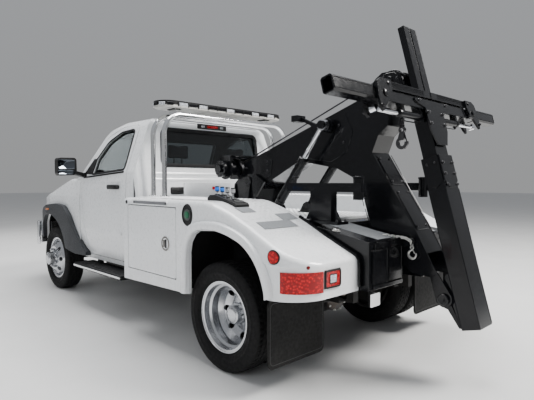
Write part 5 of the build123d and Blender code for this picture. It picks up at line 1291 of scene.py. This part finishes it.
for side, hand in (("left", 1), ("right", -1)):
    body = "claw_l" if hand > 0 else "claw_r"
    b = Bag("claw_pin_" + side, body, BLACK, "black_paint")
    for n, s in ((0.024, 1), (-0.109, -1)):
        b.lathe(tp(0.660 * hand, 1.595, n), TN * s, [(0, 0.026), (0.006, 0.026), (0.009, 0.023), (0.009, 0.016), (0.010, 0.014), (0.010, 0)], 28)
        b.nut(tp(0.728 * hand, 1.503, n), TN * s, 0.011, 0.010)
        b.lathe(tp(0.600 * hand, 1.668, n), TN * s, [(0, 0.013), (0.005, 0.013), (0.006, 0.011), (0.006, 0)], 16)
    b = Bag("claw_welds_" + side, body, BLACK, "black_paint")
    for x, s0, s1 in ((0.0885, 1.70, 2.22), (0.0075, 1.70, 2.22)):
        p, q = tp(x * hand, s0, -0.0285), tp(x * hand, s1, -0.0285)
        b.sweep([p.lerp(q, i / 30) for i in range(31)], [0.0014 + 0.0006 * (i % 2) for i in range(31)], 5)
    b.plate([(0.590, 1.648), (0.590, 1.691), (0.10, 1.691), (0.10, 1.648)], tp(0, 0, 0.007), (hand, 0, 0), TS, 0.004 if hand > 0 else -0.004, 0.001)

# dolly rack details: swivel, T handle
dr = Bag("dolly_rack_details", "chassis", BLACK, "black_paint", 35)
dz = Bag("dolly_rack_pins", "chassis", DIM_BOLT, "brushed")


def dolly():
    dr.lathe((0.470, Y(0.720), 1.415), (0, 0, 1), [(0, 0.038), (0.004, 0.042), (0.016, 0.042), (0.020, 0.036), (0.020, 0)], 28)
    dr.plate([(0, 0), (0.07, 0), (0, 0.12)], (0.500, Y(0.530), 1.105), (0, 1, 0), (0, 0, 1), 0.012, 0.002)
    dr.plate([(0, 0), (-0.07, 0), (0, 0.12)], (0.500, Y(0.330), 1.105), (0, 1, 0), (0, 0, 1), 0.012, 0.002)


def dolly_bolts():
    for x in (0.455, 0.555):
        for y in (0.345, 0.595):
            dz.nut((x, Y(y), 1.105), (0, 0, 1), 0.009, 0.010)
    dz.cyl((0.505, Y(0.15), 1.383), (0.505, Y(0.15), 1.430), 0.007, 12)
    dz.cyl((0.470, Y(0.15), 1.430), (0.540, Y(0.15), 1.430), 0.006, 12)


dr.both(dolly)
dz.both(dolly_bolts)

# ------------------------------------------------------------------ rack and light bar
rk = Bag("rack_feet", "chassis", TUBE, "polished_tube")


def feet():
    for y in (-1.452, -1.250):
        rk.lathe((0.830, Y(y), 1.2505), (0, 0, 1), [(0, 0.048), (0.006, 0.048), (0.009, 0.044), (0.009, 0.028), (0.018, 0.0262)], 32)
        for k in range(4):
            g = pi / 4 + k * pi / 2
            rk.nut((0.830 + 0.038 * cos(g), Y(y) + 0.038 * sin(g), 1.259), (0, 0, 1), 0.005, 0.005, False)


rk.both(feet)

lbz = 2.122
lamp = Bag("light_bar_modules", "chassis", CLEAR_LENS, "chrome_trim", 35)
smoked = Bag("light_bar_smoked_modules", "chassis", BLACK, "black_paint", 35)
lring = Bag("light_bar_frames", "chassis", BLACK_PLASTIC, "black_plastic", 35)
for yy, s in ((-1.260, 1), (-1.550, -1)):
    for k in range(11):
        x = -0.60 + k * 0.12
        (lamp if k in (0, 2, 5, 8, 10) else smoked).box((x, Y(yy) + 0.0015 * s, lbz + 0.031), (0.100, 0.010, 0.030), 0.003)
        lring.box((x - 0.06, Y(yy) + 0.003 * s, lbz + 0.031), (0.010, 0.012, 0.046), 0.002)
    lring.box((0.60 + 0.06, Y(yy) + 0.003 * s, lbz + 0.031), (0.010, 0.012, 0.046), 0.002)
for s in (1, -1):
    for k in range(5):
        g = radians(-64 + 32 * k)
        c = Vector((s * (0.680 + 0.1455 * cos(g)), Y(-1.405) + 0.1455 * sin(g), lbz + 0.031))
        (lamp if k in (1, 3) else smoked).box(c, (0.010, 0.062, 0.030), 0.003, Matrix.Rotation(g if s > 0 else -g, 4, "Z"))
for k in range(13):
    lring.box((-0.60 + k * 0.1, Y(-1.405), lbz + 0.0655), (0.012, 0.20, 0.006), 0.002)
lring.both(lambda: lring.box((0.62, Y(-1.40), lbz - 0.004), (0.09, 0.12, 0.012), 0.003))

# ------------------------------------------------------------------ cab exterior details
rub = Bag("window_seals", "chassis", SEAL, "rubber", 60)
cabtrim = Bag("cab_black_trim", "chassis", BLACK_PLASTIC, "black_plastic", 45)


def cab_x(z):
    """Half width of the cab at a height."""
    prof = [(0.52, 0.940), (0.66, 0.975), (0.86, 1.003), (1.30, 1.003), (1.49, 0.985), (1.975, 0.800), (2.04, 0.735), (2.06, 0.60)]
    for (a, xa), (b, xb) in zip(prof, prof[1:]):
        if a <= z <= b:
            return xa + (xb - xa) * (z - a) / (b - a)
    return prof[-1][1]


def back_y(z):
    return -1.530 if z < 1.28 else -1.530 - (z - 1.28) / 0.74 * 0.060


# rear window: black sash round the glass
pts = []
for x, z in rounded_rect(-0.665, 1.565, 0.665, 1.940, 0.060, 6):
    k = 1 - (z - 1.56) * 0.065
    pts.append((x * k, Y(back_y(z)) + 0.004, z))
rub.sweep(pts, 0.0, 10, True, flat=(0.040, 0.010, (0, 1, 0)))
# centre stop lamp above it
cabtrim.box((0, Y(-1.585), 2.003), (0.40, 0.018, 0.056), 0.006)
stop = Bag("centre_stop_lamp", "chassis", RED_LENS, "red_lens")
stop.box((0, Y(-1.577), 2.003), (0.15, 0.006, 0.026), 0.002)
backribs = Bag("cab_back_ribs", "chassis", WHITE, "white_paint", 80)
cargo = Bag("cargo_lamps", "chassis", CLEAR_LENS, "chrome_trim")
cargo.both(lambda: cargo.box((0.130, Y(-1.577), 2.003), (0.045, 0.006, 0.022), 0.002))
# pressure vents low on the cab's back
cabtrim.both(lambda: cabtrim.plate(rounded_rect(-0.584, 1.264, -0.385, 1.340, 0.020, 4), (0, Y(-1.5355), 0), (-1, 0, 0), (0, 0, 1), 0.0085, 0.0015))
for k in range(4):
    cabtrim.both(lambda: cabtrim.box((0.4845, Y(-1.5255), 1.281 + k * 0.014), (0.17, 0.006, 0.006), 0.002, Matrix.Rotation(radians(25), 4, "X")))
# two pressed ribs across the cab's back under the window
for z in (1.415, 1.475):
    rows = []
    for x in [-0.80 + 0.1 * k for k in range(17)]:
        rows.append([(x, Y(back_y(z + q)) + h, z + q) for q, h in ((-0.018, 0.0005), (-0.008, 0.004), (0.0, 0.005), (0.008, 0.004), (0.018, 0.0005))])
    backribs.grid(rows)
# small red lamp on the low bulkhead
stop.box((0.119, Y(-1.387), 1.327), (0.060, 0.008, 0.030), 0.003)
# windscreen surround, wipers and cowl
for rows in (0,):
    ws = []
    for x, z in ((0.815, 1.520), (0.708, 1.898), (-0.708, 1.898), (-0.815, 1.520)):
        y = -2.775 + (z - 1.480) / 0.460 * 0.345
        ws.append(Vector((x, Y(y) - 0.004, z + 0.003)))
    loop = []
    for i in range(4):
        a, b2 = ws[i], ws[(i + 1) % 4]
        loop += [a.lerp(b2, t / 10) for t in range(10)]
    rub.sweep(loop, 0.0, 8, True, flat=(0.028, 0.010, (0, -0.8, 0.6)))
wip = Bag("wipers", "chassis", BLACK_PLASTIC, "black_plastic")
for x in (-0.18, 0.46):
    a = Vector((x, Y(-2.835), 1.470))
    b2 = Vector((x - 0.50, Y(-2.722), 1.575))
    wip.cyl(a + Vector((0, 0.0, -0.03)), a + Vector((0, 0, 0.014)), 0.016, 16)
    wip.sweep([a, a.lerp(b2, 0.5) + Vector((0, -0.008, 0.014)), b2], 0.0055, 8)
    wip.sweep([b2 + Vector((0.18, -0.045, -0.060)), b2 + Vector((0, -0.003, 0.0)), b2 + Vector((-0.16, 0.018, 0.030))], 0.0, 8, flat=(0.010, 0.014, (0, -0.8, 0.6)))
cabtrim.box((0, Y(-2.890), 1.4505), (1.50, 0.09, 0.006), 0.003, Matrix.Rotation(radians(16), 4, "X"))

# doors: window seals, belt mouldings, handles, character line, mirror glass
for side, hand in (("left", 1), ("right", -1)):
    body = "door_l" if hand > 0 else "door_r"
    b = Bag("door_seals_" + side, body, SEAL, "rubber", 60)
    win = [(-2.485, 1.478), (-1.762, 1.518), (-1.822, 1.942), (-2.100, 1.928), (-2.340, 1.835), (-2.492, 1.650)]
    loop = []
    rad = (0.025, 0.04, 0.06, 0.20, 0.15, 0.06)
    for i in range(6):
        p0, p1, p2 = Vector(win[i - 1]), Vector(win[i]), Vector(win[(i + 1) % 6])
        d0, d1 = (p0 - p1).normalized(), (p2 - p1).normalized()
        half = d0.angle(d1) / 2
        t = rad[i] / tan(half)
        a, c = p1 + d0 * t, p1 + d1 * t
        for j in range(7):
            s = j / 6
            loop.append(a * (1 - s) ** 2 + p1 * 2 * s * (1 - s) + c * s * s)
    dense = []
    for i in range(len(loop)):
        a, c = loop[i], loop[(i + 1) % len(loop)]
        k = max(1, int((c - a).length / 0.05))
        dense += [a.lerp(c, j / k) for j in range(k)]
    b.sweep([(hand * (cab_x(v[1]) + 0.002), Y(v[0]), v[1]) for v in dense], 0.0, 8, True, flat=(0.020, 0.008, (hand, 0, 0.36)))
    # belt moulding, and the black sail plate behind the mirror
    b.sweep([(hand * (cab_x(1.454 + (y + 2.485) / 0.723 * 0.040) + 0.004), Y(y), 1.454 + (y + 2.485) / 0.723 * 0.040) for y in (-2.70, -2.4, -2.1, -1.76)], 0.0, 8, flat=(0.018, 0.010, (hand, 0, 0)))
    sail = [(-2.690, 1.484), (-2.500, 1.476), (-2.506, 1.655), (-2.560, 1.655)]
    rows = []
    for i in range(9):
        t = i / 8
        a, c = Vector(sail[0]).lerp(Vector(sail[3]), t), Vector(sail[1]).lerp(Vector(sail[2]), t)
        rows.append([(hand * (cab_x(v[1]) + 0.003), Y(v[0]), v[1]) for v in (a.lerp(c, j / 4) for j in range(5))])
    b.grid(rows)
    # handle
    b = Bag("door_handle_" + side, body, BLACK_PLASTIC, "black_plastic", 50)
    g = smooth_line([(hand * 1.006, Y(-2.045), 1.338), (hand * 1.030, Y(-2.010), 1.341), (hand * 1.034, Y(-1.94), 1.342), (hand * 1.030, Y(-1.87), 1.341), (hand * 1.006, Y(-1.835), 1.338)], 5)
    b.sweep(g, 0.0, 12, flat=(0.028, 0.014, (hand, 0, 0)))
    b = Bag("mirror_glass_" + side, body, MIRROR, "chrome_trim", 50)
    b.plate(rounded_rect(1.092, 1.540, 1.278, 1.645, 0.018), (0, Y(-2.7145), 0), (hand, 0, 0), (0, 0, 1), -0.003 if hand > 0 else 0.003, 0.001)
    b.plate(rounded_rect(1.092, 1.482, 1.278, 1.528, 0.012), (0, Y(-2.7145), 0), (hand, 0, 0), (0, 0, 1), -0.003 if hand > 0 else 0.003, 0.001)
    # door skin: raised character line and lower moulding
    b = Bag("door_creases_" + side, body, WHITE, "white_paint", 80)
    for z0, dz in ((0.865, 0.004), (1.395, 0.002)):
        rows = []
        for y in [(-2.665 + 0.0735 * i) if z0 < 1 else (-2.715 + 0.0775 * i) for i in range(13)]:
            base = z0 + (0.012 * (y + 2.785) if z0 > 1 else 0)
            rows.append([(hand * (cab_x(base + q) + h), Y(y), base + q) for q, h in ((-0.022, 0.0), (-0.010, dz), (0.0, dz * 1.25), (0.010, dz), (0.022, 0.0))])
        b.grid(rows)

# cab side behind the door: the lower raised moulding carried on
sill = Bag("cab_sill_trim", "chassis", WHITE, "white_paint", 80)


def cab_lines():
    rows = []
    for y in (-1.695, -1.66, -1.62, -1.58, -1.545):
        rows.append([(cab_x(0.865 + q) + h - (0.02 if y > -1.56 else 0), Y(y), 0.865 + q) for q, h in ((-0.022, 0.0), (-0.010, 0.004), (0.0, 0.005), (0.010, 0.004), (0.022, 0.0))])
    sill.grid(rows)


sill.both(cab_lines)

# running board treads and polished edges
rb = Bag("running_board_treads", "chassis", BLACK_PLASTIC, "black_plastic", 40)


def treads():
    for k in range(5):
        rb.box((0.925 + k * 0.036, Y(-2.18), 0.4735), (0.016, 1.06, 0.005), 0.002)


rb.both(treads)
rbe = Bag("running_board_edges", "chassis", TUBE, "polished_tube", 40)
rbe.both(lambda: rbe.sweep([(1.117, Y(-2.715), 0.452), (1.1175, Y(-2.5), 0.452), (1.1175, Y(-1.61), 0.452)], 0.0, 8, flat=(0.022, 0.008, (1, 0, 0))))

# ------------------------------------------------------------------ nose details
gr = Bag("grille_bars", "chassis", BLACK_PLASTIC, "black_plastic", 40)
gc = Bag("grille_surround", "chassis", CHROME, "chrome_trim", 40)
for k in range(7):
    gr.box((0, Y(-4.513), 0.902 + k * 0.028), (0.94, 0.010, 0.012), 0.003)
for k in range(15):
    gr.box((-0.42 + k * 0.06, Y(-4.512), 0.985), (0.006, 0.010, 0.19), 0.002)
pts = [(x, Y(-4.518), z) for x, z in rounded_rect(-0.480, 0.886, 0.480, 1.084, 0.024, 4)]
gc.sweep(pts, 0.0, 8, True, flat=(0.018, 0.016, (0, -1, 0)))
gc.box((0, Y(-4.517), 0.985), (0.020, 0.014, 0.20), 0.004)
gc.box((0, Y(-4.517), 0.985), (0.95, 0.014, 0.020), 0.004)
hl = Bag("headlamp_lenses", "chassis", CLEAR_LENS, "chrome_trim", 40)
hb = Bag("headlamp_bezels", "chassis", BLACK_PLASTIC, "black_plastic", 40)


def headlamp():
    c = (0.655, Y(-4.463), 1.010)
    hb.sweep([(c[0] + x, c[1], c[2] + z) for x, z in rounded_rect(-0.108, -0.078, 0.108, 0.078, 0.022, 4)], 0.006, 8, True)
    for x, r in ((0.615, 0.056), (0.710, 0.036)):
        hl.lathe((x, Y(-4.458), 1.012), (0, -1, 0), [(0, r), (0.010, r * 0.97), (0.018, r * 0.75), (0.022, r * 0.4), (0.023, 0)], 32)
    hl.box((0.655, Y(-4.463), 0.945), (0.19, 0.010, 0.018), 0.003)


hl.both(headlamp)
hb_v, hb_f = list(hb.v), list(hb.f)
hb.v += [(-x, y, z) for x, y, z in hb_v]
hb.f += [tuple(reversed([i + len(hb_v) for i in f])) for f in hb_f]

bp = Bag("bumper_inserts", "chassis", BLACK_PLASTIC, "black_plastic", 40)
bp.box((0, Y(-4.648), 0.655), (0.90, 0.010, 0.11), 0.004)
for k in range(5):
    bp.box((0, Y(-4.6535), 0.615 + k * 0.020), (0.86, 0.006, 0.008), 0.002)
fog = Bag("fog_lamps", "chassis", CLEAR_LENS, "chrome_trim")
fog.both(lambda: fog.lathe((0.735, Y(-4.572), 0.655), (0.33, -0.94, 0), [(0, 0.052), (0.008, 0.050), (0.014, 0.036), (0.016, 0)], 32))
tow = Bag("front_tow_hooks", "chassis", BLACK, "black_paint")
tow.both(lambda: tow.sweep(smooth_line([(0.41, Y(-4.60), 0.560), (0.41, Y(-4.655), 0.562), (0.41, Y(-4.668), 0.590), (0.41, Y(-4.650), 0.614), (0.41, Y(-4.62), 0.610)], 4), 0.010, 10))
amb = Bag("flare_markers", "chassis", AMBER_LENS, None)
amb.both(lambda: amb.box((1.062, F - 0.02, 1.045), (0.008, 0.090, 0.024), 0.003))

# bonnet: vents
bn = Bag("bonnet_lines", "hood", WHITE, "white_paint", 80)


def bonnet_z(x, y):
    side = [(-2.975, 1.440), (-3.40, 1.412), (-4.00, 1.345), (-4.40, 1.240)]
    for (a, za), (b, zb) in zip(side, side[1:]):
        if b <= y <= a:
            zs = za + (zb - za) * (y - a) / (b - a)
            break
    else:
        zs = 1.24
    front = [(0.0, 1.440), (0.25, 1.440), (0.56, 1.412), (0.69, 1.372), (0.748, 1.27)]
    for (a, za), (b, zb) in zip(front, front[1:]):
        if a <= x <= b:
            zf = za + (zb - za) * (x - a) / (b - a)
            break
    else:
        zf = 1.27
    return min(zs, zf)


hv = Bag("bonnet_vents", "hood", BLACK_PLASTIC, "black_plastic")


def vent():
    for k in range(4):
        y = -3.36 - k * 0.03
        hv.box((0.36, Y(y), bonnet_z(0.36, y) + 0.001), (0.20, 0.012, 0.006), 0.002)


hv.both(vent)

# ------------------------------------------------------------------ underside details
ub = Bag("axle_details", "chassis", ZINC, "brushed")


def u_bolts():
    for y in (-0.06, 0.06):
        ub.cyl((0.362, Y(y), 0.40), (0.362, Y(y), 0.545), 0.008, 10)
        ub.cyl((0.428, Y(y), 0.40), (0.428, Y(y), 0.545), 0.008, 10)
        ub.nut((0.362, Y(y), 0.545), (0, 0, 1), 0.013, 0.014)
        ub.nut((0.428, Y(y), 0.545), (0, 0, 1), 0.013, 0.014)


ub.both(u_bolts)
for k in range(10):
    g = 2 * pi * k / 10
    ub.nut((0.0 + 0.0, Y(0.0) + 0.150 * cos(g), TYRE_R + 0.150 * sin(g)), (1, 0, 0), 0.001, 0.001, False) if False else None
dif = Bag("differential_cover", "chassis", cast(), "cast_grey")
dif.lathe((0, Y(0.10), TYRE_R), (0, 1, 0), [(0, 0.135), (0.070, 0.130), (0.085, 0.110), (0.095, 0.07), (0.098, 0)], 40)
for k in range(10):
    g = 2 * pi * k / 10
    ub.nut((0.122 * cos(g), Y(0.175), TYRE_R + 0.122 * sin(g)), (0, 1, 0), 0.009, 0.009)

# ------------------------------------------------------------------ seat
def pad(name, cx, cy, cz, sx, sy, sz, tilt, channels, simulate):
    """A stuffed pad: rounded box, swollen by cloth, with sewn channels pressed in afterwards."""
    bm = bmesh.new()
    bmesh.ops.create_cube(bm, size=1.0)
    bmesh.ops.scale(bm, vec=(sx - 0.02, sy - 0.02, sz - 0.02), verts=bm.verts)
    bmesh.ops.bevel(bm, geom=bm.edges[:], offset=min(sy, sz) * 0.3, segments=4, profile=0.6, affect="EDGES")
    me = bpy.data.meshes.new(name)
    bm.to_mesh(me)
    bm.free()
    o = bpy.data.objects.new(name, me)
    bpy.context.scene.collection.objects.link(o)
    bpy.context.view_layer.objects.active = o
    rm = o.modifiers.new("r", "REMESH")
    rm.mode = "VOXEL"
    rm.voxel_size = 0.012
    dg = bpy.context.evaluated_depsgraph_get()
    me2 = bpy.data.meshes.new_from_object(o.evaluated_get(dg))
    o.modifiers.clear()
    o.data = me2
    if simulate:
        cm = o.modifiers.new("c", "CLOTH")
        cm.settings.use_pressure = True
        cm.settings.uniform_pressure_force = 4.0
        cm.settings.effector_weights.gravity = 0
        cm.settings.quality = 4
        cm.point_cache.frame_start, cm.point_cache.frame_end = 1, 20
        for fr in range(1, 21):
            bpy.context.scene.frame_set(fr)
        dg = bpy.context.evaluated_depsgraph_get()
        me3 = bpy.data.meshes.new_from_object(o.evaluated_get(dg))
        lim = 0.014
        for a, b2 in zip(me3.vertices, me2.vertices):
            d2 = a.co - b2.co
            if d2.length > lim:
                a.co = b2.co + d2.normalized() * lim
        o.modifiers.clear()
        o.data = me3
        bpy.context.scene.frame_set(1)
    # sewn channels
    for v in o.data.vertices:
        x, y, z = v.co
        g = min(abs(x - c) for c in channels) if channels else 1
        if g < 0.018:
            v.co *= Vector((1, 1 - 0.10 * (1 - g / 0.018) * (1 if sy < sz else 0.3), 1 - 0.10 * (1 - g / 0.018) * (1 if sz <= sy else 0.3)))
    o.data.transform(Matrix.Translation((cx, cy, cz)) @ Matrix.Rotation(tilt, 4, "X"))
    o.data.materials.clear()
    o.data.materials.append(CLOTH)
    for p in o.data.polygons:
        p.use_smooth = True
    sub = o.modifiers.new("s", "SUBSURF")
    sub.levels = sub.render_levels = 1
    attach(o, "chassis")
    return o


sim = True
for nm, cx in (("left", 0.38), ("right", -0.38)):
    pad("seat_cushion_" + nm, cx, Y(-2.00), 1.125, 0.62, 0.46, 0.125, radians(4), [-0.20, 0.20, 0.0], sim)
    pad("seat_back_" + nm, cx, Y(-1.690), 1.385, 0.60, 0.115, 0.44, radians(-11), [-0.19, 0.19], sim)
    pad("head_restraint_" + nm, cx + (0.02 if cx > 0 else -0.02), Y(-1.668), 1.715, 0.27, 0.075, 0.165, 0.0, [], sim)
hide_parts("bench_seat")
sf = Bag("seat_frames", "chassis", INTERIOR, "grey_plastic", 50)
for s in (1, -1):
    sf.box((s * 0.38, Y(-1.96), 0.955), (0.58, 0.44, 0.20), 0.03)
    for dx in (-0.05, 0.05):
        sf.cyl((s * 0.40 + dx, Y(-1.672), 1.58), (s * 0.40 + dx, Y(-1.668), 1.66), 0.006, 12)
sf.box((0, Y(-1.95), 1.03), (0.13, 0.46, 0.34), 0.03)

# steering wheel rim over the dashboard's own
sw = Bag("steering_wheel", "chassis", INTERIOR, "grey_plastic", 60)
ax = Vector((0, cos(radians(25)), sin(radians(25))))
c0 = Vector((0.40, Y(-2.56), 1.290)) + ax * 0.249
u = Vector((1, 0, 0))
w = ax.cross(u)
sw.sweep([c0 + u * (0.182 * cos(2 * pi * i / 40)) + w * (0.182 * sin(2 * pi * i / 40)) for i in range(40)], 0.0155, 10, True)
cb2 = Bag("cabin_lining_pieces", "chassis", HEADLINER, "grey_plastic", 50)
cb2.box((0, Y(-1.98), 2.005), (1.36, 0.56, 0.006), 0.002)

# ------------------------------------------------------------------ build all bags
for b in Bag.made:
    if not b.v:
        continue
    o = build(b)
    if getattr(b, "stands_for", None):
        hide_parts(b.stands_for)

# ------------------------------------------------------------------ stage: floor, lights, camera
me = bpy.data.meshes.new("floor")
S = 60
me.from_pydata([(-S, -S, 0), (S, -S, 0), (S, S, 0), (-S, S, 0)], [], [(0, 1, 2, 3)])
fm = Mat("floor_material")
fm.link(fm.mix(fm.ramp(fm.noise(1.5, 6), 0.3, 0.7), (0.60, 0.60, 0.595), (0.64, 0.64, 0.635)), "Base Color")
fm.set(Roughness=0.75)
me.materials.append(fm.m)
floor = bpy.data.objects.new("floor", me)
bpy.context.scene.collection.objects.link(floor)

world = bpy.data.worlds.new("studio")
bpy.context.scene.world = world
world.use_nodes = True
wt = world.node_tree
bg = wt.nodes["Background"]
bg.inputs["Strength"].default_value = 0.42
tc = wt.nodes.new("ShaderNodeTexCoord")
sx = wt.nodes.new("ShaderNodeSeparateXYZ")
rampn = wt.nodes.new("ShaderNodeValToRGB")
rampn.color_ramp.elements[0].position = 0.0
rampn.color_ramp.elements[0].color = (0.80, 0.81, 0.82, 1)
rampn.color_ramp.elements[1].position = 0.6
rampn.color_ramp.elements[1].color = (0.92, 0.95, 1.0, 1)
wt.links.new(tc.outputs["Generated"], sx.inputs[0])
wt.links.new(sx.outputs[2], rampn.inputs[0])
wt.links.new(rampn.outputs[0], bg.inputs[0])


def area(name, loc, target, size, energy, col=(1, 1, 1), mirrored=True):
    li = bpy.data.lights.new(name, "AREA")
    li.shape = "RECTANGLE"
    li.size, li.size_y = size
    li.energy = energy
    li.color = col
    o = bpy.data.objects.new(name, li)
    bpy.context.scene.collection.objects.link(o)
    o.location = loc
    o.visible_glossy = mirrored
    o.rotation_euler = (Vector(target) - Vector(loc)).to_track_quat("-Z", "Y").to_euler()
    return o


area("key", (-4.5, 7.5, 8.5), (0, 0.3, 0.8), (4, 3.5), 2100, (1, 0.98, 0.95))
area("side", (9.0, 3.5, 4.5), (0, 0.0, 0.9), (6, 4), 220, (0.94, 0.97, 1), False)
area("front", (2.5, -8.5, 5.0), (0, -1, 1.0), (6, 4), 330, (1, 1, 1), False)
area("top", (0, 0, 8.5), (0, 0, 0), (6, 7), 1050)

cam = bpy.data.cameras.new("camera")
cam.sensor_fit = "HORIZONTAL"
cam.sensor_width = 36
cam.lens = 36 * 474.36 / 534
cam.clip_start, cam.clip_end = 0.05, 200
co = bpy.data.objects.new("camera", cam)
bpy.context.scene.collection.objects.link(co)
yaw, pitch, roll = radians(44.121), radians(-2.187), radians(-0.115)
co.location = (3.285, R + 2.689, 1.393)
fwd = Vector((-sin(yaw) * cos(pitch), -cos(yaw) * cos(pitch), sin(pitch)))
co.rotation_euler = fwd.to_track_quat("-Z", "Y").to_euler()
bpy.context.scene.camera = co

bpy.context.view_layer.update()
